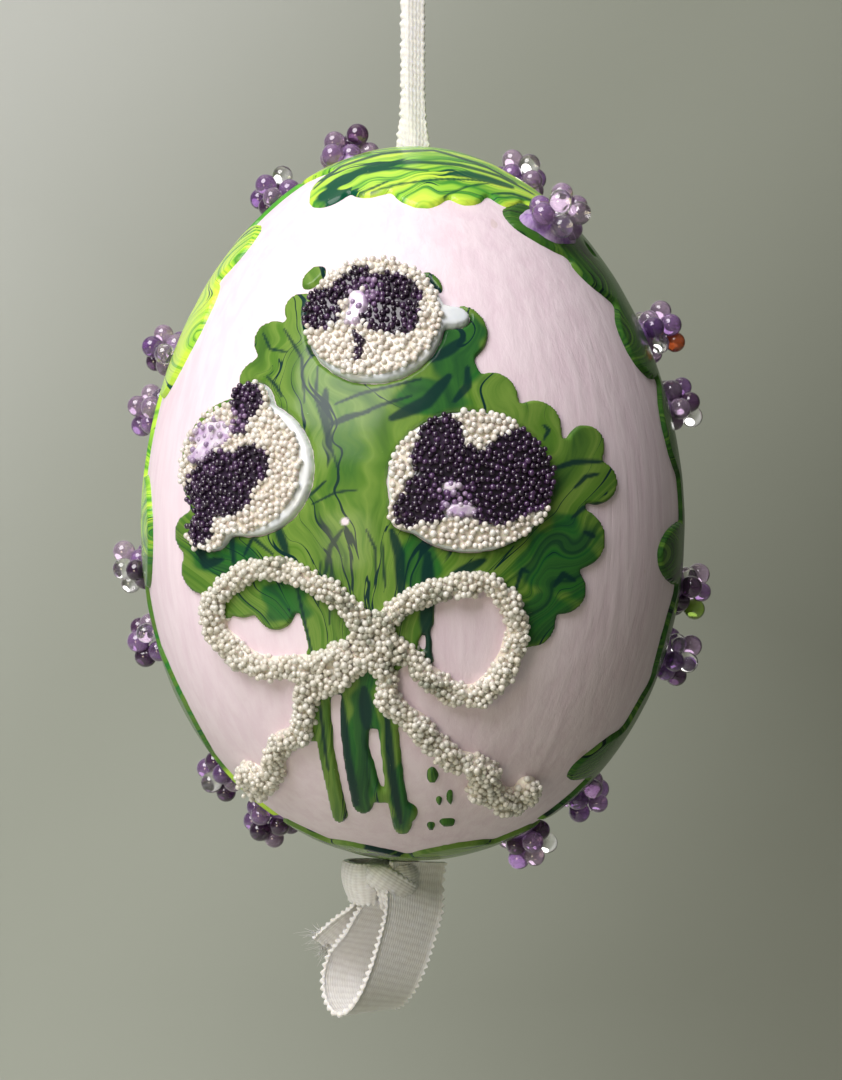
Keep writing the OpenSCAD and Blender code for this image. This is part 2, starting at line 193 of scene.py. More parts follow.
MM = 0.001
HALF_H = 30.0
HALF_W = 22.7
BIAS = 0.065
EGG_Z = -76.0
ENAMEL_H = 0.34
PETAL_H = 0.7
BED_H = 0.86
ROPE_H = 1.3
MICROBEAD_R = 0.25
BEAD_R = 0.95
HOLE_R = 2.0
FOLD_HALF = 1.05
KNOT_DROP = 26.0
KNOT_R = 3.0
LOOP_HALF = 5.2
RIBBON_HALF = 3.0
RIBBON_T = 0.42
RIB_PITCH = 0.6
WARP_PITCH = 0.24
PRESS = 0.5
EGG_TOP = EGG_Z + HALF_H
KNOT_TOP = EGG_Z - HALF_H - 0.6

# Grid of the drawn layers, the bare edge round it, steps along a ribbon, and length of a ray in metres
GRID = 0.14
MARGIN = 1.0
PATH_STEP = 0.12
RAY_M = 0.075
SEED = 7


# ---------- The egg's surface ----------


def egg_radius(z):
    """Distance of the surface from the axis at height z."""
    s = np.clip(np.asarray(z, float) / HALF_H, -1, 1)
    return HALF_W * (1 - BIAS * s) * np.sqrt(np.maximum(1 - s * s, 0))


def egg_normal(p):
    """Outward unit normals at points p on the surface."""
    s = np.clip(p[:, 2] / HALF_H, -1, 1)
    k = 1 - BIAS * s
    up = HALF_W**2 / HALF_H * k * (BIAS * (1 - s * s) + s * k)
    n = np.stack([p[:, 0], p[:, 1], up], 1)
    return n / np.linalg.norm(n, axis=1)[:, None]


HEIGHTS = np.sin(np.linspace(-math.pi / 2, math.pi / 2, 2001)) * HALF_H
WIDEST = int(np.argmax(egg_radius(HEIGHTS)))


def height_at(rho, sign):
    """Height of the surface at distance rho from the axis, on the upper or the lower half."""
    part = HEIGHTS[WIDEST:] if sign > 0 else HEIGHTS[: WIDEST + 1][::-1]
    return np.interp(rho, egg_radius(part)[::-1], part[::-1])


def front_point(u, v):
    """The point of the surface seen from the front at across u and up v."""
    return np.stack([u, -np.sqrt(np.maximum(egg_radius(v) ** 2 - u * u, 0)), v], 1)


def end_point(u, v, sign):
    """The point seen from above, or with sign -1 from below, at across u and back v."""
    return np.stack([u, v, height_at(np.hypot(u, v), sign)], 1)


def side_point(u, v, sign):
    """The point seen from the right, or with sign -1 from the left, at back u and up v."""
    return np.stack([sign * np.sqrt(np.maximum(egg_radius(v) ** 2 - u * u, 0)), u, v], 1)


# Each side's ray start, ray direction and surface point for a place (u, v) on its drawing
SIDES = {
    "front": (lambda u, v: (u, -60, v), (0, 1, 0), front_point, (0, 2)),
    "above": (lambda u, v: (u, v, 60), (0, 0, -1), lambda u, v: end_point(u, v, 1), (0, 1)),
    "below": (lambda u, v: (u, v, -60), (0, 0, 1), lambda u, v: end_point(u, v, -1), (0, 1)),
    "left": (lambda u, v: (-60, u, v), (1, 0, 0), lambda u, v: side_point(u, v, -1), (1, 2)),
    "right": (lambda u, v: (60, u, v), (-1, 0, 0), lambda u, v: side_point(u, v, 1), (1, 2)),
}


# ---------- Small tools ----------


def wobble(u, v, size, seed):
    """Smooth waves between about -1 and 1 over a field, about size across."""
    r = np.random.default_rng(seed)
    total = np.zeros_like(np.asarray(u, float))
    for _ in range(7):
        turn = r.uniform(0, 2 * math.pi)
        k = 2 * math.pi / (size * r.uniform(0.7, 1.7))
        total += np.sin(k * (u * math.cos(turn) + v * math.sin(turn)) + r.uniform(0, 6.3))
    return total / 3.2


def smooth_step(x, low, high):
    t = np.clip((x - low) / (high - low), 0, 1)
    return t * t * (3 - 2 * t)


def blur(field, sigma):
    """Gaussian blur of a grid, sigma in cells."""
    half = int(3 * sigma) + 1
    k = np.exp(-0.5 * (np.arange(-half, half + 1) / sigma) ** 2)
    k /= k.sum()
    wide = np.pad(field, half)
    wide = np.apply_along_axis(lambda row: np.convolve(row, k, "valid"), 0, wide)
    return np.apply_along_axis(lambda row: np.convolve(row, k, "valid"), 1, wide)


def new_object(name, data):
    obj = bpy.data.objects.new(name, data)
    bpy.context.scene.collection.objects.link(obj)
    return obj


def mesh_object(name, verts, faces, body="egg"):
    """A mesh object riding on a body. Vertices are in millimetres in the row frame."""
    mesh = bpy.data.meshes.new(name)
    mesh.from_pydata((np.asarray(verts) * MM).tolist(), [], [list(map(int, f)) for f in faces])
    mesh.validate()
    mesh.shade_smooth()
    obj = new_object(name, mesh)
    if body:
        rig.ride(obj, body)
    return obj


def add_values(obj, name, values):
    """A number for each vertex, which materials read by name."""
    values = np.asarray(values, np.float32)
    kind = "FLOAT" if values.ndim == 1 else "FLOAT_VECTOR"
    key = "value" if values.ndim == 1 else "vector"
    attribute = obj.data.attributes.new(name, kind, "POINT")
    attribute.data.foreach_set(key, values.ravel())


def to_frame(points):
    """From the egg's middle to the row frame."""
    return points + np.array([0, 0, EGG_Z])


def segment_distance(u, v, a, b):
    """Distance to the line from a to b, and how far along it the nearest point is."""
    du, dv = b[0] - a[0], b[1] - a[1]
    t = np.clip(((u - a[0]) * du + (v - a[1]) * dv) / (du * du + dv * dv + 1e-9), 0, 1)
    return np.hypot(u - a[0] - t * du, v - a[1] - t * dv), t


def stroke_field(u, v, strokes):
    """1 on the middle of a brush stroke and 0 outside it. A stroke is its points and its half width."""
    best = np.zeros_like(u)
    for points, half in strokes:
        for i in range(len(points) - 1):
            d, t = segment_distance(u, v, points[i], points[i + 1])
            along = (i + t) / (len(points) - 1)
            w = half * (0.35 + 0.65 * np.sin(math.pi * np.clip(along, 0.02, 0.98)) ** 0.6)
            best = np.maximum(best, 1 - smooth_step(d, w * 0.75, w * 1.25 + 0.05))
    return best


# ---------- Reliefs: raised layers drawn on the egg ----------


def draw_grid(node, side, pitch):
    """A grid over one CAD node's outline."""
    axes = SIDES[side][3]
    low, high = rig.box(node)
    low, high = np.array(low) / MM - [0, 0, EGG_Z], np.array(high) / MM - [0, 0, EGG_Z]
    us = np.arange(low[axes[0]] - MARGIN, high[axes[0]] + MARGIN, pitch)
    vs = np.arange(low[axes[1]] - MARGIN, high[axes[1]] + MARGIN, pitch)
    return us, vs


def mask(node, side, us, vs):
    """1 where a CAD node is seen on a grid, and 0 elsewhere."""
    start, way = SIDES[side][:2]
    mesh = NODES[node].data
    points = [tuple(v.co) for v in mesh.vertices]
    tree = BVHTree.FromPolygons(points, [tuple(p.vertices) for p in mesh.polygons])
    way = Vector(way)
    inside = np.zeros((len(us), len(vs)))
    for i, u in enumerate(us):
        for j, v in enumerate(vs):
            x, y, z = start(u, v)
            origin = Vector((x * MM, y * MM, (z + EGG_Z) * MM))
            if tree.ray_cast(origin, way, RAY_M)[0] is not None:
                inside[i, j] = 1
    return inside


def snap_outline(us, vs, field, pitch):
    """Faces and corner places of the area where field is over a half, with its rim on that line."""
    uu, vv = np.meshgrid(us, vs, indexing="ij")
    mean = (field[:-1, :-1] + field[1:, :-1] + field[:-1, 1:] + field[1:, 1:]) / 4
    kept = mean > 0.5
    touched = np.zeros(field.shape, int)
    for a in (0, 1):
        for b in (0, 1):
            touched[a : a + kept.shape[0], b : b + kept.shape[1]] += kept
    rim = (touched > 0) & (touched < 4)
    du, dv = np.gradient(field, pitch)
    steep = np.maximum(du**2 + dv**2, 0.25)
    move = (0.5 - field) / steep
    su = np.clip(move * du, -pitch, pitch)
    sv = np.clip(move * dv, -pitch, pitch)
    uu = np.where(rim, uu + su, uu)
    vv = np.where(rim, vv + sv, vv)
    number = -np.ones(field.shape, int)
    used = touched > 0
    number[used] = np.arange(used.sum())
    i, j = np.nonzero(kept)
    faces = np.stack([number[i, j], number[i + 1, j], number[i + 1, j + 1], number[i, j + 1]], 1)
    level = np.where(rim, 0.5, field)
    return uu[used], vv[used], level[used], rim[used], faces


def rounded(level):
    """Height of a rounded edge, from 0 on the outline to 1 inside."""
    t = np.clip((level - 0.5) / 0.48, 0, 1)
    return np.sqrt(1 - (1 - t) ** 2)


class Relief:
    """A raised layer over one CAD node, lifted off the egg by a height with rounded edges."""

    def __init__(self, node, side, height, base=0.0, soft=1.5, name=None, uneven=0.06, pitch=GRID,
                 shrink=0.0, beside=(), under=()):
        us, vs = draw_grid(node, side, pitch)
        inside = mask(node, side, us, vs)
        uu, vv = np.meshgrid(us, vs, indexing="ij")
        if under:
            cover = np.maximum.reduce([mask(other, side, us, vs) for other in under])
            inside = np.maximum(inside, cover * (blur(inside, 3) > 0.05))
        self.us, self.vs, self.field = us, vs, blur(inside, soft)
        if beside:
            near = np.maximum.reduce([inside] + [mask(other, side, us, vs) for other in beside])
            narrow = shrink * (1 + 0.5 * wobble(uu, vv, 2.4, SEED + 6))
            self.field = np.minimum(blur(inside, 1.0), blur(near, soft) - narrow)
        self.u, self.v, level, rim, faces = snap_outline(us, vs, self.field, pitch)
        place = SIDES[side][2]
        self.place = place(self.u, self.v)
        self.normal = egg_normal(self.place)
        self.level = level
        lift = height * rounded(level) * (1 + uneven * wobble(self.u, self.v, 3.4, SEED))
        lift = np.where(rim, -0.06, lift) + base
        points = to_frame(self.place + self.normal * lift[:, None])
        if side in ("above", "left"):
            faces = faces if side == "above" else faces[:, ::-1]
        if side == "below":
            faces = faces[:, ::-1]
        self.obj = mesh_object(name or node + "_coat", points, faces)
        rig.replaces(self.obj, node)

    def inside(self, u, v):
        """How far inside the outline the places (u, v) are: over a half is inside."""
        i = np.clip((u - self.us[0]) / (self.us[1] - self.us[0]), 0, len(self.us) - 2)
        j = np.clip((v - self.vs[0]) / (self.vs[1] - self.vs[0]), 0, len(self.vs) - 2)
        a, b = i.astype(int), j.astype(int)
        s, t = i - a, j - b
        f = self.field
        low = f[a, b] * (1 - s) + f[a + 1, b] * s
        high = f[a, b + 1] * (1 - s) + f[a + 1, b + 1] * s
        return low * (1 - t) + high * t


# ---------- Material tools ----------


class Nodes:
    """A short way to write a material's nodes."""

    def __init__(self, name):
        self.mat = bpy.data.materials.new(name)
        self.mat.use_nodes = True
        self.tree = self.mat.node_tree
        self.shader = self.tree.nodes["Principled BSDF"]

    def add(self, kind, **settings):
        node = self.tree.nodes.new("ShaderNode" + kind)
        for key, value in settings.items():
            setattr(node, key, value)
        return node

    def link(self, a, b):
        self.tree.links.new(a, b)

    def set(self, **values):
        """Plain values on the shader. Underscores stand for spaces."""
        for key, value in values.items():
            self.shader.inputs[key.replace("_", " ")].default_value = value

    def read(self, name, out="Fac"):
        return self.add("Attribute", attribute_name=name).outputs[out]

    def feed(self, socket, value):
        """Gives a socket a number, a colour or another node's output."""
        if isinstance(value, (int, float)):
            socket.default_value = value
        elif isinstance(value, tuple):
            socket.default_value = (*value, 1)
        elif value is not None:
            self.link(value, socket)

    def math(self, operation, a, b=None, clamp=False):
        node = self.add("Math", operation=operation, use_clamp=clamp)
        self.feed(node.inputs[0], a)
        self.feed(node.inputs[1], b)
        return node.outputs[0]

    def noise(self, vector, scale, detail=3.0, rough=0.55, distortion=0.0):
        node = self.add("TexNoise")
        for key, value in (("Vector", vector), ("Scale", scale), ("Detail", detail),
                           ("Roughness", rough), ("Distortion", distortion)):
            self.feed(node.inputs[key], value)
        return node.outputs["Fac"]

    def stretch(self, vector, scale, offset=(0, 0, 0)):
        node = self.add("Mapping")
        node.inputs["Scale"].default_value = scale
        node.inputs["Location"].default_value = offset
        self.link(vector, node.inputs["Vector"])
        return node.outputs["Vector"]

    def split(self, vector):
        """The three parts of a vector."""
        node = self.add("SeparateXYZ")
        self.link(vector, node.inputs[0])
        return node.outputs

    def ramp(self, value, stops, smooth="EASE"):
        node = self.add("ValToRGB")
        node.color_ramp.interpolation = smooth
        spots = node.color_ramp.elements
        while len(spots) < len(stops):
            spots.new(0.5)
        for spot, (at, colour) in zip(spots, stops):
            spot.position = at
            spot.color = (*colour, 1) if len(colour) == 3 else colour
        self.link(value, node.inputs["Fac"])
        return node.outputs["Color"]

    def mix(self, share, a, b):
        node = self.add("Mix", data_type="RGBA")
        for socket, value in ((0, share), (6, a), (7, b)):
            self.feed(node.inputs[socket], value)
        return node.outputs[2]

    def bump(self, height, strength, distance):
        node = self.add("Bump")
        node.inputs["Strength"].default_value = strength
        node.inputs["Distance"].default_value = distance
        self.link(height, node.inputs["Height"])
        self.link(node.outputs["Normal"], self.shader.inputs["Normal"])

    def colour(self, socket):
        self.link(socket, self.shader.inputs["Base Color"])

    def roughness(self, value, low, high):
        node = self.add("MapRange")
        self.link(value, node.inputs["Value"])
        node.inputs["To Min"].default_value = low
        node.inputs["To Max"].default_value = high
        self.link(node.outputs["Result"], self.shader.inputs["Roughness"])

    def place(self):
        return self.add("TexCoord").outputs["Object"]


def srgb(r, g, b):
    """A screen colour from 0 to 255 as the linear colour that a shader takes."""
    return tuple(((c / 255 + 0.055) / 1.055) ** 2.4 if c > 10 else c / 255 / 12.92 for c in (r, g, b))


def give(obj, *materials, slot=None):
    for m in materials:
        obj.data.materials.append(m)
    if slot:
        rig.slot(obj, slot)
    return obj


# ---------- Materials ----------


def shell_material():
    m = Nodes("shell_calcium")
    grain = m.noise(m.place(), 900, 4)
    m.colour(m.ramp(grain, [(0.3, srgb(226, 214, 198)), (0.7, srgb(240, 231, 218))]))
    m.roughness(grain, 0.6, 0.75)
    m.bump(grain, 0.3, 0.00005)
    return m.mat


def ground_material():
    """Matt pink-lilac paint put on with a brush from top to bottom."""
    m = Nodes("ground_paint")
    place = m.place()
    streaks = m.noise(m.stretch(place, (1, 1, 0.09)), 900, 5, 0.6, 0.25)
    broad = m.noise(m.stretch(place, (1, 1, 0.35)), 90, 3, 0.5, 0.4)
    grain = m.noise(place, 1500, 3)
    base = m.ramp(broad, [(0.3, srgb(240, 218, 231)), (0.7, srgb(246, 228, 238))])
    fine = m.ramp(streaks, [(0.35, srgb(232, 210, 224)), (0.62, srgb(248, 234, 243))])
    colour = m.mix(0.35, base, fine)
    spot = m.noise(place, 420, 1, 0.4)
    specks = m.ramp(spot, [(0.78, (0, 0, 0)), (0.81, (1, 1, 1))])
    m.colour(m.mix(m.math("MULTIPLY", specks, 0.35), colour, srgb(205, 185, 170)))
    m.roughness(streaks, 0.55, 0.75)
    m.set(Specular_IOR_Level=0.25)
    height = m.math("ADD", m.math("MULTIPLY", streaks, 0.9), m.math("MULTIPLY", grain, 0.12))
    m.bump(height, 0.5, 0.00018)
    return m.mat


def enamel_material(name, tones, line, across, along=0.07):
    """Marbled enamel. Its bands and thin dark lines run along the flow that the mesh carries."""
    m = Nodes(name)
    flow = m.read("flow", "Vector")
    soft = m.noise(m.stretch(flow, (0.16, 0.16, 0)), 1.0, 2, 0.5)
    bent = m.add("VectorMath", operation="ADD")
    m.link(flow, bent.inputs[0])
    push = m.add("CombineXYZ")
    m.link(m.math("MULTIPLY", m.math("SUBTRACT", soft, 0.5), 3.6), push.inputs[1])
    m.link(push.outputs[0], bent.inputs[1])
    bent = bent.outputs[0]
    bands = m.noise(m.stretch(bent, (along, across, 0)), 1.0, 4, 0.55, 0.35)
    colour = m.ramp(bands, [(at, tone) for at, tone in tones], "LINEAR")
    shade = m.read("shade")
    colour = m.mix(m.math("MULTIPLY", shade, 0.85, True), colour, m.ramp(
        bands, [(0.35, srgb(14, 62, 46)), (0.55, srgb(30, 104, 44)), (0.7, srgb(18, 74, 50))], "LINEAR"))
    thread = m.noise(m.stretch(bent, (along * 0.8, across * 0.9, 0), (3.1, 7.7, 0)), 1.0, 3, 0.5, 0.5)
    off = m.math("ABSOLUTE", m.math("SUBTRACT", thread, 0.5))
    width = m.noise(m.stretch(bent, (0.1, 0.35, 0), (9, 2, 0)), 1.0, 2)
    thin = m.math("MULTIPLY", m.math("SUBTRACT", width, 0.44), 0.13, False)
    mask = m.math("SUBTRACT", 1.0, m.math("DIVIDE", off, m.math("MAXIMUM", thin, 0.0005)), True)
    mask = m.math("MULTIPLY", mask, 2.6, True)
    colour = m.mix(mask, colour, line)
    stroke = m.read("stroke")
    colour = m.mix(m.math("MULTIPLY", stroke, 0.93, True), colour, line)
    fleck = m.noise(m.stretch(flow, (3.2, 3.2, 0)), 1.0, 1)
    flecks = m.ramp(fleck, [(0.79, (0, 0, 0)), (0.81, (1, 1, 1))])
    colour = m.mix(m.math("MULTIPLY", flecks, 0.5), colour, srgb(168, 200, 130))
    m.colour(m.mix(m.read("bare"), colour, srgb(240, 224, 236)))
    m.set(Roughness=0.22, Coat_Weight=0.08, Coat_Roughness=0.1, Specular_IOR_Level=0.22)
    ripple = m.noise(m.stretch(bent, (0.5, 1.6, 0)), 1.0, 3)
    m.bump(ripple, 0.22, 0.00007)
    return m.mat


def petal_material():
    m = Nodes("petal_white")
    cloud = m.noise(m.place(), 260, 3)
    m.colour(m.ramp(cloud, [(0.35, srgb(222, 228, 236)), (0.65, srgb(244, 246, 250))]))
    m.set(Roughness=0.16, Coat_Weight=0.5, Coat_Roughness=0.08, Subsurface_Weight=0.15,
          Subsurface_Radius=(0.0004, 0.0004, 0.0005))
    m.bump(cloud, 0.2, 0.0001)
    return m.mat


def microbead_material(name, stops, clear=0.25):
    """Tiny glass beads. Each carries a tone of its own."""
    m = Nodes(name)
    tone = m.read("tone")
    cloud = m.noise(m.place(), 500, 2)
    value = m.math("ADD", m.math("MULTIPLY", tone, 0.75), m.math("MULTIPLY", cloud, 0.25))
    m.colour(m.ramp(value, stops, "LINEAR"))
    m.set(Roughness=0.08, IOR=1.5, Transmission_Weight=clear, Coat_Weight=0.8, Coat_Roughness=0.04)
    return m.mat


def glue_material(name, low, high, rough=0.12):
    m = Nodes(name)
    cloud = m.noise(m.place(), 700, 4, 0.6, 0.8)
    m.colour(m.ramp(cloud, [(0.32, low), (0.68, high)]))
    m.roughness(cloud, rough, rough + 0.15)
    m.set(Coat_Weight=0.6, Coat_Roughness=0.05, Subsurface_Weight=0.2,
          Subsurface_Radius=(0.0005, 0.0003, 0.0006))
    m.bump(cloud, 0.5, 0.00012)
    return m.mat


def glass_bead_material(name, low, high, clear):
    m = Nodes(name)
    tone = m.read("tone")
    swirl = m.noise(m.place(), 650, 2, 0.5, 0.6)
    value = m.math("ADD", m.math("MULTIPLY", tone, 0.7), m.math("MULTIPLY", swirl, 0.3))
    m.colour(m.ramp(value, [(0.2, low), (0.8, high)], "LINEAR"))
    m.set(Roughness=0.03, IOR=1.5, Transmission_Weight=clear, Coat_Weight=1.0, Coat_Roughness=0.02)
    return m.mat


def ribbon_material():
    """White woven ribbon: fine ribs across it and warp threads along it."""
    m = Nodes("ribbon_weave")
    weave = m.read("weave", "Vector")
    along, across, _ = m.split(weave)
    ribs = m.math("SINE", m.math("MULTIPLY", along, 2 * math.pi / RIB_PITCH))
    warp = m.math("SINE", m.math("MULTIPLY", across, 2 * math.pi / WARP_PITCH))
    lint = m.noise(m.stretch(weave, (2.2, 2.2, 2.2)), 1.0, 4, 0.6)
    cloth = m.math("ADD", m.math("MULTIPLY", ribs, 0.5), m.math("MULTIPLY", warp, 0.28))
    level = m.math("ADD", m.math("MULTIPLY", cloth, 0.4), 0.5)
    colour = m.ramp(level, [(0.1, srgb(226, 221, 220)), (0.7, srgb(248, 245, 244))])
    tint = m.ramp(lint, [(0.35, srgb(232, 228, 225)), (0.7, srgb(253, 251, 251))])
    m.colour(m.mix(0.4, colour, tint))
    m.roughness(lint, 0.62, 0.85)
    m.set(Sheen_Weight=0.35, Sheen_Roughness=0.4, Subsurface_Weight=0.5,
          Subsurface_Radius=(0.0018, 0.0017, 0.0014))
    m.bump(m.math("ADD", cloth, m.math("MULTIPLY", lint, 0.8)), 0.4, 0.00009)
    return m.mat


# ---------- The camera, first ----------

CAMERA_BACK_M = 0.200
LENS = 78.0


def make_camera():
    data = bpy.data.cameras.new("camera")
    data.lens = LENS
    data.sensor_width = 36
    data.clip_start, data.clip_end = 0.01, 10
    camera = new_object("camera", data)
    camera.location = (0.0007, -CAMERA_BACK_M, (EGG_Z - 3.1) * MM)
    camera.rotation_euler = (math.pi / 2, 0, 0)
    bpy.context.scene.camera = camera


# ---------- The ribbon ----------


def turned_frames(path, side):
    """Unit steps along a path, its side directions, and its outward directions."""
    step = np.gradient(path, axis=0)
    step /= np.linalg.norm(step, axis=1)[:, None]
    side = side - step * np.sum(side * step, axis=1)[:, None]
    side /= np.linalg.norm(side, axis=1)[:, None]
    return step, side, np.cross(step, side)


def lengths(path):
    gaps = np.linalg.norm(np.diff(path, axis=0), axis=1)
    return np.concatenate([[0], np.cumsum(gaps)])


def resample(points):
    """Points along a smooth curve through a few points."""
    points = np.asarray(points, float)
    n = len(points)
    fine = []
    for i in range(n - 1):
        a, b = points[max(i - 1, 0)], points[i]
        c, d = points[i + 1], points[min(i + 2, n - 1)]
        t = np.linspace(0, 1, 24, endpoint=False)[:, None]
        fine.append(0.5 * (2 * b + (c - a) * t + (2 * a - 5 * b + 4 * c - d) * t**2
                           + (3 * b - a - 3 * c + d) * t**3))
    fine = np.concatenate(fine + [points[-1:]])
    along = lengths(fine)
    marks = np.linspace(0, along[-1], max(int(along[-1] / PATH_STEP), 4))
    return np.stack([np.interp(marks, along, fine[:, k]) for k in range(3)], 1)


def band_section(half, thick):
    """A flat band's outline, across and out, with a round cord along each edge."""
    across = np.linspace(-half * 0.9, half * 0.9, 13)
    face = np.stack([across, np.full(13, thick * 0.36)], 1)
    turn = np.linspace(math.pi / 2, -math.pi / 2, 7)[1:-1]
    edge = np.stack([half * 0.9 + thick * 0.62 * np.cos(turn), thick * 0.62 * np.sin(turn)], 1)
    return np.concatenate([face, edge, -face, -edge])


def band(name, path, side, half, thick, body, gather=None, start=0.0, bulge=0.0):
    """A woven ribbon along a path: cross ribs and beaded edges, closed at both ends."""
    path = np.asarray(path, float)
    n = len(path)
    side = np.broadcast_to(np.asarray(side, float), (n, 3))
    _, side, out = turned_frames(path, side)
    along = lengths(path) + start
    section = band_section(half, thick)
    m = len(section)
    width = np.ones(n) if gather is None else gather(along - start)
    verts, weave = [], []
    edge = np.abs(section[:, 0]) / half
    for i in range(n):
        wave = math.sin(2 * math.pi * along[i] / RIB_PITCH)
        x = section[:, 0] * width[i] * np.where(edge > 0.93, 1 + 0.045 * wave, 1)
        y = section[:, 1] * np.where(edge > 0.93, 1 + 0.3 * wave, 1 + 0.16 * wave)
        y = y - bulge * (section[:, 0] / half) ** 2
        verts.append(path[i] + side[i] * x[:, None] + out[i] * y[:, None])
        weave.append(np.stack([np.full(m, along[i]), section[:, 0], section[:, 1]], 1))
    return tube(name, np.array(verts), np.concatenate(weave), body)


def tube(name, rings, weave, body):
    """A closed skin over rings of points."""
    n, m = rings.shape[:2]
    faces = []
    for i in range(n - 1):
        for k in range(m):
            a, b = i * m + k, i * m + (k + 1) % m
            faces.append((a, b, b + m, a + m))
    faces.append(tuple(range(m - 1, -1, -1)))
    faces.append(tuple(range((n - 1) * m, n * m)))
    obj = mesh_object(name, rings.reshape(-1, 3), faces, body)
    add_values(obj, "weave", weave)
    obj.data.set_sharp_from_angle(angle=math.radians(70))
    return obj


def fold_section(flare):
    """The folded ribbon's outline from above: a ridge in front, left and right facets, soft edges."""
    wide = FOLD_HALF * (1 + 0.42 * flare)
    ridge = -0.48 + 0.75 * flare
    corners = [(-wide, 0.1), (-wide + 0.12, -0.16), (ridge - 0.1, -0.56), (ridge + 0.08, -0.58),
               (wide - 0.35, -0.26), (wide - 0.06, -0.2), (wide, 0.05), (wide - 0.2, 0.34),
               (0.3, 0.5), (0.05, 0.3), (-0.2, 0.48), (-wide + 0.25, 0.36)]
    points = []
    for i, a in enumerate(corners):
        b = corners[(i + 1) % len(corners)]
        for t in (0, 0.34, 0.67):
            points.append((a[0] + (b[0] - a[0]) * t, a[1] + (b[1] - a[1]) * t))
    return np.array(points)


def folded_run():
    """The ribbon folded lengthways, from the upper knot down through the egg to the lower knot."""
    low, high = KNOT_TOP + 0.1, -KNOT_DROP - KNOT_R + 0.2
    zs = np.arange(high, low, -PATH_STEP)
    rings, weave = [], []
    for z in zs:
        flare = math.exp(-(((z - (EGG_TOP - 0.5)) / 2.9) ** 2)) if z > EGG_TOP - 0.5 else 1.0
        flare = flare if z > EGG_TOP - 3 else 0.35
        p = fold_section(flare)
        slant = z + 0.34 * p[:, 0]
        rib = 1 + 0.045 * np.sin(2 * math.pi * slant / RIB_PITCH)
        ripple = 0.05 * math.sin(2 * math.pi * z / 0.85) + 0.03 * math.sin(2 * math.pi * z / 2.3)
        x = p[:, 0] * rib + np.where(p[:, 0] < -FOLD_HALF * 0.6, ripple, -0.5 * ripple)
        y = p[:, 1] * rib
        rings.append(np.stack([x, y, np.full(len(p), z)], 1))
        weave.append(np.stack([slant, p[:, 0] * 0.8, p[:, 1]], 1))
    obj = tube("ribbon_folded_run", np.array(rings), np.concatenate(weave), None)
    centre = [(0, 0, z * MM) for z in zs]
    return obj, centre


def teardrop(half, height, foot):
    """A loop standing on a foot, in the plane across x and z."""
    route = [(0, 0), (-0.55 * half, -0.3 * height), (-0.95 * half, -0.62 * height),
             (-0.82 * half, -0.86 * height), (0, -height), (0.82 * half, -0.86 * height),
             (0.95 * half, -0.62 * height), (0.55 * half, -0.3 * height), (0, 0)]
    return resample([(x, 0, foot - z) for x, z in route])


def hanging_loop():
    """The loop over the hook, made of the flat ribbon."""
    rise = KNOT_DROP - KNOT_R * 0.6 + 0.15
    path = teardrop(LOOP_HALF, rise, -KNOT_DROP + KNOT_R * 0.6)
    gather = lambda s: 0.55 + 0.45 * smooth_step(np.minimum(s, s[-1] - s), 0.5, 9)
    obj = band("hanging_loop_ribbon", path, (0, 1, 0), RIBBON_HALF * 0.95, RIBBON_T, "hanging_loop", gather)
    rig.replaces(obj, "hanging_loop")
    return obj, path


def wrap_route(centre, radii, tilt, turn):
    """A closed turn of ribbon round a knot, leaning by tilt."""
    t = np.linspace(0, 2 * math.pi, 160)
    lump = 1 + 0.07 * np.sin(3 * t + turn)
    x, y = radii[0] * lump * np.cos(t), radii[1] * lump * np.sin(t)
    z = 0.35 * np.sin(t + turn)
    c, s = math.cos(tilt), math.sin(tilt)
    return np.stack([centre[0] + x * c - z * s, centre[1] + y, centre[2] + x * s + z * c], 1)


def crumpled_core(name, centre, sizes):
    """The tightly folded middle of a knot."""
    verts, faces = ball(5)
    x, y, z = verts.T
    fold = 1 + 0.07 * np.sin(5 * z + 3 * x) + 0.05 * np.sin(9 * x - 4 * y)
    place = np.array(centre) + verts * fold[:, None] * np.array(sizes)
    obj = mesh_object(name, place, faces, None)
    add_values(obj, "weave", np.stack([place[:, 2] + place[:, 0], place[:, 0], place[:, 1]], 1))
    return obj


def press_under(obj, ceiling):
    """Flattens the top of a soft piece against what lies on it."""
    mesh = obj.data
    flat = np.empty(len(mesh.vertices) * 3)
    mesh.vertices.foreach_get("co", flat)
    over = np.maximum(flat[2::3] - (ceiling - PRESS) * MM, 0)
    flat[2::3] -= over - PRESS * MM * np.tanh(over / (PRESS * MM))
    mesh.vertices.foreach_set("co", flat)
    mesh.update()


def knot(name, centre, sizes, body, node, material, turns, ceiling=None):
    """A knot: a crumpled core with turns of ribbon round it, as one piece.

    A turn is its middle's place from the knot's, its two radii, lean, half width and swell.
    """
    parts = [crumpled_core(name + "_core", centre, sizes)]
    for k, (off, radii, tilt, half, swell) in enumerate(turns):
        path = wrap_route(np.array(centre) + off, radii, tilt, 1.9 * k)
        side = (-math.sin(tilt), 0.0, math.cos(tilt))
        parts.append(band(f"{name}_{k}", path, side, half, RIBBON_T, None, start=k * 7.3, bulge=swell))
    obj = join(name, parts)
    if ceiling is not None:
        press_under(obj, ceiling)
    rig.ride(obj, body)
    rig.replaces(obj, node)
    return give(obj, material, slot="ribbon")


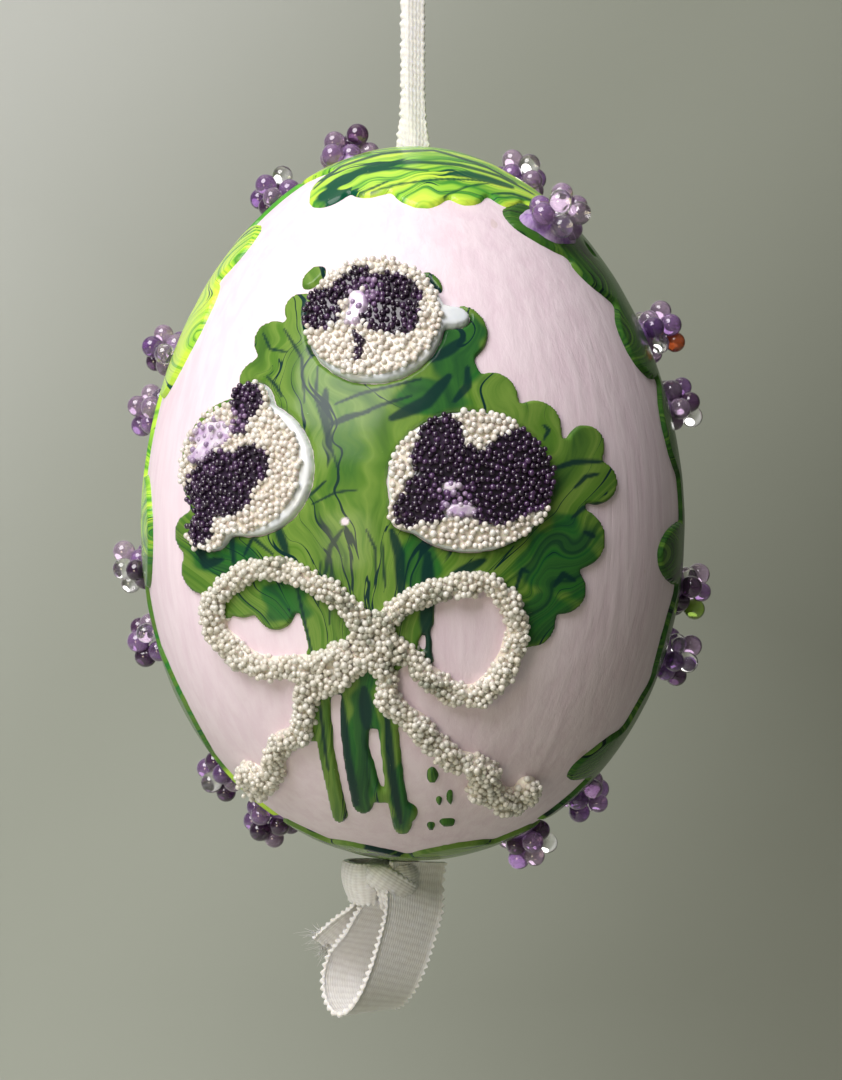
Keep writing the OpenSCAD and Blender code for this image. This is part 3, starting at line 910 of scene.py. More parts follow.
UPPER_TURNS = [((0, 0, 0), (2.5, 2.4), 0.35, 1.5, 0.5), ((0, 0, 0), (2.55, 2.3), -0.5, 1.3, 0.4),
               ((0, 0, 0), (2.4, 2.5), 1.2, 1.1, 0.3)]
LOWER_TURNS = [((-1.35, 0, 0.2), (1.9, 2.1), 0.1, 1.9, 0.5),
               ((0.5, -0.3, 0), (2.3, 2.6), -0.72, 0.95, 0.25),
               ((0.2, -0.2, -0.3), (2.1, 2.35), -1.15, 0.8, 0.2),
               ((1.2, 0, 0.75), (2.1, 2.1), 0.12, 0.9, 0.2)]


def join(name, objects):
    """One object from several."""
    for o in bpy.context.selected_objects:
        o.select_set(False)
    for o in objects:
        o.select_set(True)
    bpy.context.view_layer.objects.active = objects[0]
    bpy.ops.object.join()
    objects[0].name = name
    objects[0].data.name = name
    objects[0].select_set(False)
    return objects[0]


LOOP_WIDTH_WAY = np.array([0.8, 0.6, 0.0])
# The lower loop's near edge, from the knot down its right side and up its left side
LOOP_RIM = [(-1.9, -30.6), (-2.2, -32.5), (-2.4, -34.8), (-2.95, -37), (-3.7, -39.3), (-4.6, -41.3),
            (-5.6, -42.7), (-6.6, -43.25), (-7.4, -42.6), (-7.75, -41.2), (-7.5, -39.6), (-6.9, -38.3),
            (-5.9, -36.8), (-4.7, -34.8), (-3.4, -33.4), (-2.6, -32.4)]


def lower_loop(material):
    """The open loop below the knot: the ribbon bent over, seen at an angle."""
    route = []
    for x, z in LOOP_RIM:
        middle = -2.3 - 0.412 * (-32.5 - z) if z < -32.5 else x
        opening = (x - middle) / 0.6
        near = np.array([x, -1.8 - 0.8 * opening, EGG_Z + z])
        route.append(near + LOOP_WIDTH_WAY * RIBBON_HALF)
    path = resample(route)
    obj = band("lower_ribbon_loop", path, LOOP_WIDTH_WAY, RIBBON_HALF, RIBBON_T, "bottom_knot")
    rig.replaces(obj, "bottom_loop")
    return give(obj, material, slot="ribbon")


THREADS = 170


def frayed_tail(material):
    """The cut end of the ribbon, with its threads coming loose."""
    r = np.random.default_rng(SEED + 1)
    path = resample([(-2.9, 1.4, EGG_Z - 33), (-4.0, 2.1, EGG_Z - 34.9), (-5.7, 2.6, EGG_Z - 36.7),
                     (-7.4, 2.9, EGG_Z - 38.5)])
    turned = smooth_step(np.linspace(0, 1, len(path)), 0.2, 1)[:, None]
    side = LOOP_WIDTH_WAY * (1 - turned) + np.array([0.45, 0.45, -0.77]) * turned
    strip = band("tail_strip", path, side, 1.8, 0.36, None)
    tip = path[-1]
    across = side[-1] / np.linalg.norm(side[-1])
    verts, faces, weave = [], [], []
    for k in range(THREADS):
        spread = r.uniform(-1.8, 1.8)
        a = tip + across * spread + r.normal(0, 0.08, 3) + np.array([0.3, 0, 0.25])
        way = np.array([-0.75, 0.1, -0.35]) + across * spread * 0.2 + r.normal(0, 0.24, 3)
        bend = r.normal(0, 0.35, 3)
        reach = r.uniform(0.5, 1.7)
        for t in np.linspace(0, 1, 6):
            p = a + way * reach * t + bend * t * t
            w = 0.06 * (1 - 0.7 * t)
            for q in range(3):
                ring = np.array([math.cos(2.1 * q), math.sin(2.1 * q), 0.4 * math.sin(2.1 * q + 1)])
                verts.append(p + ring * w)
                weave.append((t * 3, q, 0))
        base = k * 18
        for s in range(5):
            for q in range(3):
                e, f = base + s * 3 + q, base + s * 3 + (q + 1) % 3
                faces.append((e, f, f + 3, e + 3))
    threads = mesh_object("tail_threads", verts, faces, None)
    add_values(threads, "weave", np.array(weave, float))
    obj = join("frayed_ribbon_tail", [strip, threads])
    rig.ride(obj, "bottom_knot")
    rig.replaces(obj, "ribbon_tail")
    return give(obj, material, slot="ribbon")


def make_ribbon():
    cloth = ribbon_material()
    run, centre = folded_run()
    give(run, cloth, slot="ribbon")
    loop, loop_path = hanging_loop()
    give(loop, cloth, slot="ribbon")
    top = knot("upper_knot", (0, 0, -KNOT_DROP), (2.1, 2.1, 2.2), "top_knot", "top_knot", cloth, UPPER_TURNS)
    bottom = knot("lower_knot", (-2.7, 0.7, KNOT_TOP - 1.5), (2.0, 2.0, 1.3), "bottom_knot",
                  "bottom_knot", cloth, LOWER_TURNS, ceiling=KNOT_TOP)
    low_loop = lower_loop(cloth)
    tail = frayed_tail(cloth)
    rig.blend(run, "ribbon", "bottom_knot", start=(0, 0, -0.031), end=(0, 0, KNOT_TOP * MM))
    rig.replaces(run, "ribbon_run")
    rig.cord(run, exit=centre[0], length=abs(centre[-1][2] - centre[0][2]), diameter=0.0022,
            far_end="knot", stiffness="limp", lay="taut", path=centre,
            with_pieces=[top, bottom, low_loop, tail])
    loop_length = float(lengths(loop_path)[-1]) * MM
    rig.cord(loop, exit=tuple(loop_path[0] * MM), length=loop_length, diameter=0.006,
            far_end="object", stiffness="limp", lay="taut", path=(loop_path * MM).tolist())


# ---------- The painted egg ----------


def ground_mesh(material):
    """The brushed ground paint, with a hole at each end."""
    edge = math.acos(HOLE_R / HALF_W)
    lat = np.linspace(-edge, edge, 230)
    turn = np.linspace(0, 2 * math.pi, 361)[:-1]
    a, t = np.meshgrid(lat, turn, indexing="ij")
    z = HALF_H * np.sin(a)
    r = egg_radius(z)
    p = np.stack([r * np.cos(t), r * np.sin(t), z], -1).reshape(-1, 3)
    n = egg_normal(p)
    arc = (t * HALF_W).ravel()
    strokes = wobble(arc, z.ravel() * 0.06, 1.1, SEED + 2) * smooth_step(
        wobble(arc, z.ravel(), 9, SEED + 3), -0.3, 0.9)
    dents = wobble(arc, z.ravel(), 2.2, SEED + 4)
    fade = smooth_step(edge - np.abs(a.ravel()), 0, 0.3)
    lift = (0.02 * strokes + 0.008 * dents) * fade
    rows, cols = a.shape
    i, j = np.meshgrid(np.arange(rows - 1), np.arange(cols), indexing="ij")
    k = (j + 1) % cols
    faces = np.stack([i * cols + j, i * cols + k, (i + 1) * cols + k, (i + 1) * cols + j], -1)
    obj = mesh_object("ground_paint", to_frame(p + n * lift[:, None]), faces.reshape(-1, 4))
    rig.replaces(obj, "ground_coat")
    return give(obj, material, slot="ground")


# Swirls that a stick drew in the wet enamel: place, radius and turn
SWIRLS = [(-6, 10.5, 4.2, 1.3), (0.6, 8.2, 4.4, -1.4), (10.2, 3.4, 3.4, 1.5), (11.6, -3.4, 3.2, 2.2),
          (6.8, 7.2, 2.6, -1.0), (-12.5, -6, 3.0, 1.2), (-3.4, 3.4, 3.6, 0.9), (-10.6, 10.6, 2.6, -1.2),
          (9.8, -6.8, 2.6, -2.0), (3.4, 11.6, 3.0, 1.1), (-9, -3.4, 2.6, -1.0), (-16, -3.4, 2.6, 0.8)]
# Dark streaks in the bouquet's enamel: the points of each and its half width
STREAKS = [
    (((-6.5, 8.3), (-6.6, 6.5), (-6.1, 3.9)), 0.34), (((-6.2, 5.6), (-4.9, 6.2), (-3.2, 6.6)), 0.2),
    (((-9.8, 13.2), (-8.4, 10.9), (-8.1, 7.4)), 0.11), (((-11.5, 13), (-10.9, 11.7), (-9.6, 11.4)), 0.1),
    (((-8, 11.8), (-7.6, 10.9)), 0.16), (((-7.1, 10.2), (-7.3, 7.8), (-5.5, 2.2)), 0.1),
    (((1.6, 10.6), (2.9, 11.4), (3.9, 12.2)), 0.42), (((-1.5, 6.1), (1.1, 7.3), (2.8, 9.3)), 0.5),
    (((-5.8, 7.2), (-3.8, 8), (0.7, 9.1)), 0.11), (((-5.8, 5.6), (-2.3, 7.1), (0, 7.8)), 0.12),
    (((10.6, 2.3), (12.4, 2.9), (14.7, 3)), 0.2), (((12.4, 0.9), (13.3, 1.8), (14.3, 2)), 0.16),
    (((12.2, -1.4), (13.1, -0.6), (14.6, -0.2)), 0.16), (((13.2, -2.5), (14, -2.8)), 0.2),
    (((-16.9, -2.9), (-16, -5), (-14.6, -4.6)), 0.36), (((-13.8, -2.6), (-13.6, -5)), 0.2),
    (((-12.8, -4.3), (-12.1, -2.9), (-10.5, -4.2)), 0.13), (((-10.3, -1.8), (-9.4, -4.2)), 0.34),
    (((-5.2, -2.3), (-6.1, -3.6), (-6.6, -6.2)), 0.18), (((-3.4, -2.3), (-2.7, -3.8), (-2.7, -5.9)), 0.1),
    (((-2.2, -3.3), (-2, -6.6)), 0.08), (((1.2, -4.2), (1.2, -6), (1.1, -9), (1.4, -12.8)), 0.55),
    (((-1.5, -2.4), (-0.9, -4.2), (-0.8, -7.6)), 0.4), (((-7.5, -0.4), (-5.7, 0.5), (-4, 0.7)), 0.07),
    (((-8.1, -0.1), (-6.4, 1.4)), 0.1), (((2.8, -5.9), (5.4, -4.6)), 0.36),
    (((-11.1, 9.5), (-10.4, 8.8), (-9.9, 7.9)), 0.12), (((10, 5.7), (10.4, 5.3), (10, 4.6)), 0.14),
    (((7.7, -7.2), (8.3, -5.3), (8.8, -5.5)), 0.14), (((10.8, -6.6), (11.5, -5.7), (12.4, -6.2)), 0.22),
    (((-5.6, -14.6), (-5.2, -19.8), (-4.4, -23.8)), 0.55), (((-3.6, -14.4), (-3.4, -17.4)), 0.5),
    (((-1.9, -16.4), (-1.6, -20.9), (-0.9, -25.4)), 0.34), (((-6, -4.5), (-6.2, -9.4)), 0.12),
    (((-6.8, -4.6), (-7, -8)), 0.08), (((-8.8, -6), (-7.6, -11.5)), 0.1), (((-7.2, -14), (-6.5, -21)), 0.12),
    (((3.2, 7.4), (4.2, 8.6), (4.2, 10)), 0.3), (((4.8, -6.4), (7.6, -6.8)), 0.16),
]
# Broad darker pools: place, half width and half height
POOLS = [(3.6, 11.2, 2.6, 3.4), (1.4, 7.8, 3.4, 1.5), (11.4, -4.6, 3.6, 3.6), (-14.6, -4.4, 3.4, 1.5),
         (-9.6, -7.8, 2.2, 1.8), (0.6, -4.6, 1.6, 2.6), (10, -9, 3, 2.4), (-3.6, -19, 1.3, 6.6),
         (-4.4, -21, 1.0, 4.4), (-0.8, -23, 1.0, 3.4)]


def swirl(u, v, swirls):
    """Places as they were before a stick turned the enamel round each swirl's middle."""
    for x, z, size, turn in swirls:
        du, dv = u - x, v - z
        near = np.clip(1 - np.hypot(du, dv) / size, 0, 1) ** 2 * turn
        u = x + du * np.cos(near) - dv * np.sin(near)
        v = z + du * np.sin(near) + dv * np.cos(near)
    return u, v


def pool_field(u, v, pools):
    best = np.zeros_like(u)
    for x, z, a, b in pools:
        far = np.hypot((u - x) / a, (v - z) / b) + 0.16 * wobble(u, v, 2.4, SEED + 5)
        best = np.maximum(best, 1 - smooth_step(far, 0.72, 1.02))
    return best


def bouquet_flow(u, v):
    """Along and across the fan of leaves, which opens upwards from the stems."""
    u, v = swirl(u, v, SWIRLS)
    open_up = 1 + 2.4 * smooth_step(v, -12, 6)
    across = (u + 3.2) / open_up * 1.7
    along = v - 0.018 * (u + 3.2) ** 2
    return np.stack([along, across, np.zeros_like(u)], 1)


# Dark streaks in the enamel of the crown, seen from the front
CROWN_STREAKS = [
    (((-7.9, 25.4), (-5.9, 27.5), (-2.5, 28.6), (1.7, 29.0), (5.8, 27.6), (8.5, 26.1)), 0.14),
    (((-5.9, 26.2), (-3.5, 27.2), (0.3, 27.5), (3.8, 27.4), (7.1, 26.6), (9.8, 25.3)), 0.16),
    (((3, 26.4), (4.3, 26.45), (6, 26.1), (8, 25.6)), 0.36), (((-5, 24.2), (-3.3, 24.9), (-1.9, 25.6)), 0.1),
    (((-3.3, 24.6), (-1, 25.3), (2.3, 25.8), (4.3, 25.9), (7.1, 25.8)), 0.08),
    (((2.4, 24.1), (4.3, 25.2), (6.4, 25.8)), 0.06), (((6.4, 24.7), (8, 24.9), (10.4, 24.4)), 0.12),
    (((-6.4, 25.4), (-4.8, 26.5), (-3.4, 26.7)), 0.2), (((-4.2, 26.4), (-1.5, 26.9), (1.2, 26.6)), 0.12),
]


def crown_flow(u, v):
    """Streaks that run over the cap from one end to the other and spread towards its edge."""
    edge = 12.4 * np.sqrt(np.maximum(1 - (u / 15.5) ** 2, 0.12))
    share = np.abs(v) / edge
    return np.stack([u * 1.1, 9 * share + 0.17 * u * share + 0.05 * u, np.zeros_like(u)], 1)


def rim_flow(leaves):
    """Streaks along the rim, which lean out towards each leaf's tip."""

    def flow(u, v):
        lean = sum(0.9 * np.exp(-(((v - z) / 2.6) ** 2)) for z in leaves)
        return np.stack([v + 0.5 * np.abs(u), np.abs(u) * 1.3 * lean + 0.12 * v, np.zeros_like(u)], 1)

    return flow


def enamel(node, side, flow, material, slot, streaks=(), pools=(), soft=1.5, pitch=GRID, under=()):
    """Raised enamel over a CAD node, with its marbling's flow. Streaks are drawn from the front."""
    relief = Relief(node, side, ENAMEL_H, soft=soft, pitch=pitch, under=under)
    x, z = relief.place[:, 0], relief.place[:, 2]
    add_values(relief.obj, "flow", flow(relief.u, relief.v))
    add_values(relief.obj, "stroke", stroke_field(x, z, streaks))
    add_values(relief.obj, "shade", pool_field(x, z, pools))
    add_values(relief.obj, "bare", near_patch(x, z, BARE_SPOTS))
    return give(relief.obj, material, slot=slot)


# The lower part of the left rim's enamel is drawn in darker green
LEFT_POOLS = [(-20, -13, 8, 12)]
BARE_SPOTS = [(-5.0, -1.7, 0.34, 0.3)]
LIME = srgb(216, 244, 84)
NAVY = srgb(16, 50, 48)
LEFT_LEAF_Z = (20, 13.4, 5.4, -2.4, -9.6, -16.5)
RIGHT_LEAF_Z = (22, 18, 13.4, 6, -4.2, -11, -17.6, -20.6)


def make_enamel():
    green = enamel_material("marbled_green", [
        (0.28, srgb(42, 82, 38)), (0.4, srgb(88, 126, 48)), (0.5, srgb(116, 148, 64)),
        (0.57, srgb(90, 130, 46)), (0.66, srgb(66, 112, 42)), (0.74, srgb(102, 142, 56))], NAVY,
        across=0.7)
    lime = enamel_material("marbled_lime", [
        (0.28, srgb(30, 104, 56)), (0.36, srgb(96, 178, 58)), (0.42, LIME), (0.5, srgb(176, 226, 76)),
        (0.55, srgb(70, 150, 58)), (0.59, srgb(150, 214, 70)), (0.66, LIME)], srgb(18, 84, 60),
        across=0.52, along=0.035)
    dark = enamel_material("marbled_dark_green", [
        (0.3, srgb(24, 62, 36)), (0.42, srgb(66, 112, 40)), (0.52, srgb(40, 84, 38)),
        (0.6, srgb(94, 134, 52)), (0.7, srgb(56, 100, 40))], srgb(16, 40, 34), across=0.7, along=0.05)
    enamel("bouquet_leaves", "front", bouquet_flow, green, "green_enamel", STREAKS, POOLS, under=BOW_PARTS)
    enamel("loose_leaf", "front", bouquet_flow, green, "green_enamel")
    enamel("stem_drops", "front", bouquet_flow, dark, "dark_green_enamel", soft=1.1)
    enamel("wreath_crown", "above", crown_flow, lime, "lime_enamel", CROWN_STREAKS, pitch=0.16)
    enamel("wreath_base", "below", crown_flow, green, "green_enamel", pitch=0.18)
    enamel("wreath_left", "left", rim_flow(LEFT_LEAF_Z), lime, "lime_enamel", pools=LEFT_POOLS, pitch=0.18)
    enamel("wreath_right", "right", rim_flow(RIGHT_LEAF_Z), dark, "dark_green_enamel", pitch=0.18)


# ---------- Microbeads ----------


def ball(subdivisions):
    """Points and faces of a ball of radius 1."""
    bm = bmesh.new()
    bmesh.ops.create_icosphere(bm, subdivisions=subdivisions, radius=1)
    verts = np.array([v.co for v in bm.verts])
    faces = np.array([[v.index for v in f.verts] for f in bm.faces])
    bm.free()
    return verts, faces


def thin_out(points, gap, r):
    """A random choice of points that are no nearer to each other than gap."""
    cells, kept = {}, []
    steps = list(itertools.product((-1, 0, 1), repeat=3))
    for i in r.permutation(len(points)):
        p = points[i]
        x, y, z = (p // gap).astype(int)
        near = (q for dx, dy, dz in steps for q in cells.get((x + dx, y + dy, z + dz), ()))
        if all((p[0] - q[0]) ** 2 + (p[1] - q[1]) ** 2 + (p[2] - q[2]) ** 2 >= gap * gap for q in near):
            cells.setdefault((x, y, z), []).append(p)
            kept.append(i)
    return np.array(kept, int)


def bead_object(name, centres, radii, tones, subdivisions):
    """Many round beads as one mesh, each with a tone."""
    verts, faces = ball(subdivisions)
    n, m = len(centres), len(verts)
    points = (centres[:, None, :] + radii[:, None, None] * verts[None]).reshape(-1, 3)
    all_faces = (faces[None] + (np.arange(n) * m)[:, None, None]).reshape(-1, 3)
    obj = mesh_object(name, points, all_faces)
    add_values(obj, "tone", np.repeat(tones, m))
    return obj


def bead_field(relief, base, gap, name, body_of_tones, r, dome=0.0, spread=0.09, size=MICROBEAD_R,
               cut=(), only=()):
    """Microbeads over a relief's outline, on a flat bed or on a dome, less or only some strokes."""
    step = gap / 3.2
    us = np.arange(relief.us[0], relief.us[-1], step)
    vs = np.arange(relief.vs[0], relief.vs[-1], step)
    u, v = (g.ravel() for g in np.meshgrid(us, vs, indexing="ij"))
    level = relief.inside(u, v)
    kept = (level > 0.5) & (stroke_field(u, v, cut) < 0.5)
    if only:
        kept &= stroke_field(u, v, only) > 0.5
    u, v, level = u[kept], v[kept], level[kept]
    u = u + r.uniform(-0.5, 0.5, len(u)) * step
    v = v + r.uniform(-0.5, 0.5, len(v)) * step
    place = front_point(u, v)
    lift = base + dome * rounded(level) + r.normal(0, spread, len(u)) * 0.5
    points = place + egg_normal(place) * lift[:, None]
    kept = thin_out(points, gap, r)
    centres = to_frame(points[kept])
    radii = size * r.uniform(0.8, 1.18, len(kept))
    return bead_object(name, centres, radii, body_of_tones(u[kept], v[kept], r), 2)


def plain_tones(u, _, r):
    return r.uniform(0, 1, len(u))


def near_patch(u, v, spots):
    """1 inside any of some ovals: place and half sizes."""
    best = np.zeros_like(u)
    for x, z, a, b in spots:
        best = np.maximum(best, 1 - smooth_step(np.hypot((u - x) / a, (v - z) / b), 0.7, 1.15))
    return best


# Where dark beads turn to lilac and where pale beads turn grey
LILAC_SPOTS = [(-14.8, 5.4, 2.6, 2.2), (-12.8, 5.6, 1.0, 1.6), (-3.4, 15.4, 1.2, 1.5), (2.9, 0.2, 1.6, 1.2)]
DARK_LINE = [(((-4.3, 12.5), (-3.8, 11.6), (-3.9, 10.5)), 0.26)]


def dark_tones(u, v, r):
    tone = r.uniform(0, 0.55, len(u)) ** 1.3
    return np.clip(tone + 0.75 * near_patch(u, v, LILAC_SPOTS) * r.uniform(0.3, 1, len(u)), 0, 1)


def make_pansy(which, mats):
    """One pansy: white disc, a bed of glue under the beads, and pale, dark and lilac beads."""
    r = np.random.default_rng(SEED + len(which))
    disc = Relief(f"{which}_pansy_disc", "front", PETAL_H, soft=1.9, uneven=0.03)
    give(disc.obj, mats["petal"], slot="white_enamel")
    for kind, bed, bead, slot in (("pale_beads", "cream_glue", "pale", "pale_microbeads"),
                                  ("dark_beads", "dark_glue", "purple", "purple_microbeads")):
        node = f"{which}_pansy_{kind}"
        relief = Relief(node, "front", BED_H - PETAL_H, base=PETAL_H, soft=1.1, name=node + "_bed")
        give(relief.obj, mats[bed], slot=slot)
        tones = dark_tones if kind == "dark_beads" else plain_tones
        cut = DARK_LINE if node == "top_pansy_pale_beads" else ()
        obj = bead_field(relief, BED_H + 0.12, 0.4, node + "_grains", tones, r, spread=0.14, cut=cut)
        give(obj, mats[bead], slot=slot)
        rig.replaces(obj, node)
        if cut:
            row = bead_field(relief, BED_H + 0.16, 0.34, node + "_dark_row", dark_tones, r, only=cut)
            give(row, mats["purple"], slot="purple_microbeads")
            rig.replaces(row, node)
    node = f"{which}_pansy_eye"
    eye = Relief(node, "front", 0.42, base=PETAL_H, soft=1.2, name=node + "_glue", uneven=0.5)
    give(eye.obj, mats["eye_glue"], slot="lilac_glue")
    beads = bead_field(eye, PETAL_H + 0.36, 0.62, node + "_grains", plain_tones, r, spread=0.2)
    give(beads, mats["lilac"], slot="lilac_glue")
    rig.replaces(beads, node)


BOW_PARTS = ("bow_knot", "bow_left_loop", "bow_right_loop", "bow_left_tail", "bow_right_tail")
GREY_SPOTS = [(-2.4, -9, 2.6, 1.6), (-4.6, -7.6, 1.6, 1.2), (-0.6, -12.4, 1.4, 2.2), (-10, -5, 0.7, 0.9),
              (1.2, -14, 2, 0.8), (2.2, -7, 1.2, 0.9)]


def bow_tones(u, v, r):
    tone = 0.35 + 0.65 * r.uniform(0, 1, len(u))
    grey = near_patch(u, v, GREY_SPOTS)
    return np.where(r.uniform(0, 1, len(u)) < 0.6 * grey, r.uniform(0, 0.2, len(u)), tone)


def make_bow(mats):
    """The bow: ropes of microbeads heaped on glue."""
    r = np.random.default_rng(SEED + 11)
    for node in BOW_PARTS:
        others = [other for other in BOW_PARTS if other != node]
        relief = Relief(node, "front", ROPE_H * 0.72, soft=2.6, name=node + "_core", uneven=0.16,
                        shrink=0.22, beside=others)
        give(relief.obj, mats["cream_glue"], slot="bow_microbeads")
        obj = bead_field(relief, 0.12, 0.38, node + "_grains", bow_tones, r, dome=ROPE_H * 0.8,
                         spread=0.28, size=MICROBEAD_R * 1.02)
        give(obj, mats["bow"], slot="bow_microbeads")
        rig.replaces(obj, node)


# ---------- Clusters of glass beads ----------

LEFT_SPOTS = [(74, -30), (58, -20), (25, -12), (15, -14), (-10, -11), (-22, -13), (-48, -18), (-60, -18)]
RIGHT_SPOTS = [(64, -27), (48, 40), (28, -5), (16, -10), (-14, -10), (-25, -8), (-53, -18), (-67, -18)]
BEAD_LIFT = 0.3 + BEAD_R + 0.05
# The two beads of another colour, low on the outside of their clusters, and how far out they stand
ODD_BEADS = {("right", 3): ("orange", 3), ("right", 5): ("lime", 1)}


def rim_frame(side, spot):
    """Where a cluster stands: its place, and its across, along-the-rim and outward directions."""
    a, turn = math.radians(spot[0]), math.radians(-side * spot[1])
    s = math.sin(a)
    slope_r = HALF_H * math.cos(a)
    slope_z = HALF_W * (BIAS * math.cos(a) ** 2 + s * (1 - BIAS * s))
    size = math.hypot(slope_r, slope_z)
    place = np.array([side * HALF_W * (1 - BIAS * s) * math.cos(a), 0, HALF_H * s])
    out = np.array([side * slope_r / size, 0, slope_z / size])
    tilt = side * math.atan2(slope_r, slope_z)
    across = np.array([math.cos(tilt), 0, -math.sin(tilt)])
    c, n = math.cos(turn), math.sin(turn)
    spin = np.array([[c, -n, 0], [n, c, 0], [0, 0, 1]])
    return spin @ place, spin @ across, spin @ np.array([0, 1.0, 0]), spin @ out


def cluster_centres(side, spot, i):
    """The middles of one cluster's ten beads, and its frame."""
    twist = 6 if i % 2 == 0 else -6
    rows = [(1.65, t, 0) for t in (45, 135, 225, 315)] + [(2.8, t, 0) for t in (90, 270)]
    rows += [(1.35, t, 1.55) for t in (0, 90, 180, 270)]
    place, across, along, out = rim_frame(side, spot)
    found = []
    for radius, t, up in rows:
        t = math.radians(t + twist)
        found.append(place + across * radius * math.cos(t) + along * radius * math.sin(t)
                     + out * (up + BEAD_LIFT))
    return np.array(found), (place, across, along, out)


def make_clusters(mats):
    """Ten glass beads to a cluster, in mixed colours, set in a puddle of lilac glue."""
    r = np.random.default_rng(SEED + 21)
    kinds = ["amethyst", "clear", "mauve", "violet"]
    puddles = []
    for side, label, spots in ((-1, "left", LEFT_SPOTS), (1, "right", RIGHT_SPOTS)):
        for i, spot in enumerate(spots, 1):
            centres, rim = cluster_centres(side, spot, i)
            kind = r.choice(len(kinds), len(centres), p=[0.36, 0.26, 0.24, 0.14])
            shift = r.normal(0, 0.15, centres.shape)
            radii = BEAD_R * r.uniform(0.9, 1.05, len(centres))
            name = f"cluster_{label}_{i}"
            tones = r.uniform(0, 1, len(centres))
            obj = bead_object(name + "_beads", to_frame(centres + shift), radii, tones, 4)
            use = [mats[k] for k in kinds]
            if (label, i) in ODD_BEADS:
                colour, outwards = ODD_BEADS[label, i]
                use.append(mats[colour])
                kind[np.argmin(centres[:, 2] - outwards * centres[:, 0])] = len(kinds)
            give(obj, *use, slot="cluster_beads")
            per = len(obj.data.polygons) // len(centres)
            obj.data.polygons.foreach_set("material_index", np.repeat(kind, per).astype(np.int32))
            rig.replaces(obj, name)
            puddles.append(puddle(rim, r))
    join_puddles(puddles, mats["lilac_glue"])


def puddle(rim, r):
    """A soft heap of glue under one cluster: points and faces about the egg's middle."""
    place, across, along, out = rim
    rings, spokes = 12, 40
    half_w, half_l, heap = 2.3, 3.7, 1.25
    points = [place + out * heap]
    phase = r.uniform(0, 6.3, 3)
    for i in range(1, rings + 1):
        f = i / rings
        for k in range(spokes):
            t = 2 * math.pi * k / spokes
            lump = 1 + 0.06 * math.sin(3 * t + phase[0]) + 0.05 * math.sin(5 * t + phase[1])
            a, b = half_w * f * lump * math.cos(t), half_l * f * lump * math.sin(t)
            sag = (a * a + b * b) / (2 * 21.0)
            rise = heap * (1 - f**3.2) * (1 + 0.12 * math.sin(4 * a + phase[2]) * math.cos(3 * b))
            points.append(place + across * a + along * b + out * (rise - sag - 0.12 * f))
    faces = [(0, 1 + k, 1 + (k + 1) % spokes) for k in range(spokes)]
    for i in range(rings - 1):
        for k in range(spokes):
            a, b = 1 + i * spokes + k, 1 + i * spokes + (k + 1) % spokes
            faces.append((a, a + spokes, b + spokes, b))
    return np.array(points), faces


def join_puddles(puddles, material):
    verts, faces, start = [], [], 0
    for points, part in puddles:
        verts.append(points)
        faces += [tuple(x + start for x in f) for f in part]
        start += len(points)
    obj = mesh_object("cluster_glue_puddles", to_frame(np.concatenate(verts)), faces)
    bm = bmesh.new()
    bm.from_mesh(obj.data)
    bmesh.ops.recalc_face_normals(bm, faces=bm.faces)
    bm.to_mesh(obj.data)
    bm.free()
    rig.replaces(obj, "cluster_glue")
    give(obj, material, slot="lilac_glue")


# Glass beads: name, deepest and palest colour, and how clear
GLASS = [
    ("amethyst", (132, 92, 160), (176, 138, 196), 0.62), ("clear", (232, 230, 232), (252, 251, 252), 0.97),
    ("mauve", (176, 146, 186), (214, 190, 218), 0.7), ("violet", (72, 44, 80), (108, 72, 116), 0.55),
    ("orange", (196, 92, 48), (214, 112, 62), 0.4), ("lime", (150, 190, 70), (176, 210, 96), 0.5),
]


def bead_materials():
    pale = [(0.0, srgb(226, 214, 204)), (0.5, srgb(246, 238, 230)), (1.0, srgb(255, 253, 250))]
    bow = [(0.0, srgb(132, 142, 130)), (0.18, srgb(190, 190, 174)), (0.34, srgb(252, 244, 230)),
           (1.0, srgb(255, 253, 247))]
    purple = [(0.0, srgb(26, 14, 32)), (0.35, srgb(58, 34, 68)), (0.6, srgb(108, 74, 124)),
              (1.0, srgb(206, 178, 216))]
    lilac = [(0.0, srgb(150, 118, 170)), (1.0, srgb(238, 224, 242))]
    glass = {name: glass_bead_material(name + "_glass", srgb(*low), srgb(*high), clear)
             for name, low, high, clear in GLASS}
    return {
        **glass,
        "petal": petal_material(),
        "pale": microbead_material("cream_grains", pale, clear=0.12),
        "bow": microbead_material("bow_grains", bow, clear=0.3),
        "purple": microbead_material("purple_grains", purple, clear=0.1),
        "lilac": microbead_material("lilac_grains", lilac),
        "cream_glue": glue_material("cream_glue", srgb(228, 216, 200), srgb(246, 238, 226), 0.3),
        "dark_glue": glue_material("dark_glue", srgb(22, 12, 28), srgb(46, 26, 56), 0.3),
        "eye_glue": glue_material("eye_glue", srgb(196, 168, 210), srgb(246, 238, 248)),
        "lilac_glue": glue_material("puddle_glue", srgb(140, 100, 176), srgb(208, 184, 224)),
    }


# ---------- Floor, backdrop and light ----------


def stage_sheet():
    """A floor that curves up into a backdrop, in one smooth sheet."""
    floor_z, back_y, bend = -0.26, 0.48, 0.2
    reach, top = 3.0, 1.4
    profile = [(-reach, floor_z), (-0.4, floor_z), (back_y - bend, floor_z)]
    for t in np.linspace(0, math.pi / 2, 17)[1:]:
        profile.append((back_y - bend + bend * math.sin(t), floor_z + bend * (1 - math.cos(t))))
    profile += [(back_y, 0.3), (back_y, top)]
    xs = np.linspace(-reach, reach, 13)
    verts = [(x / MM, y / MM, z / MM) for y, z in profile for x in xs]
    n = len(xs)
    faces = [(i * n + j, i * n + j + 1, (i + 1) * n + j + 1, (i + 1) * n + j)
             for i in range(len(profile) - 1) for j in range(n - 1)]
    obj = mesh_object("floor_and_backdrop", verts, faces, None)
    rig.stage(give(obj, paper_material()))


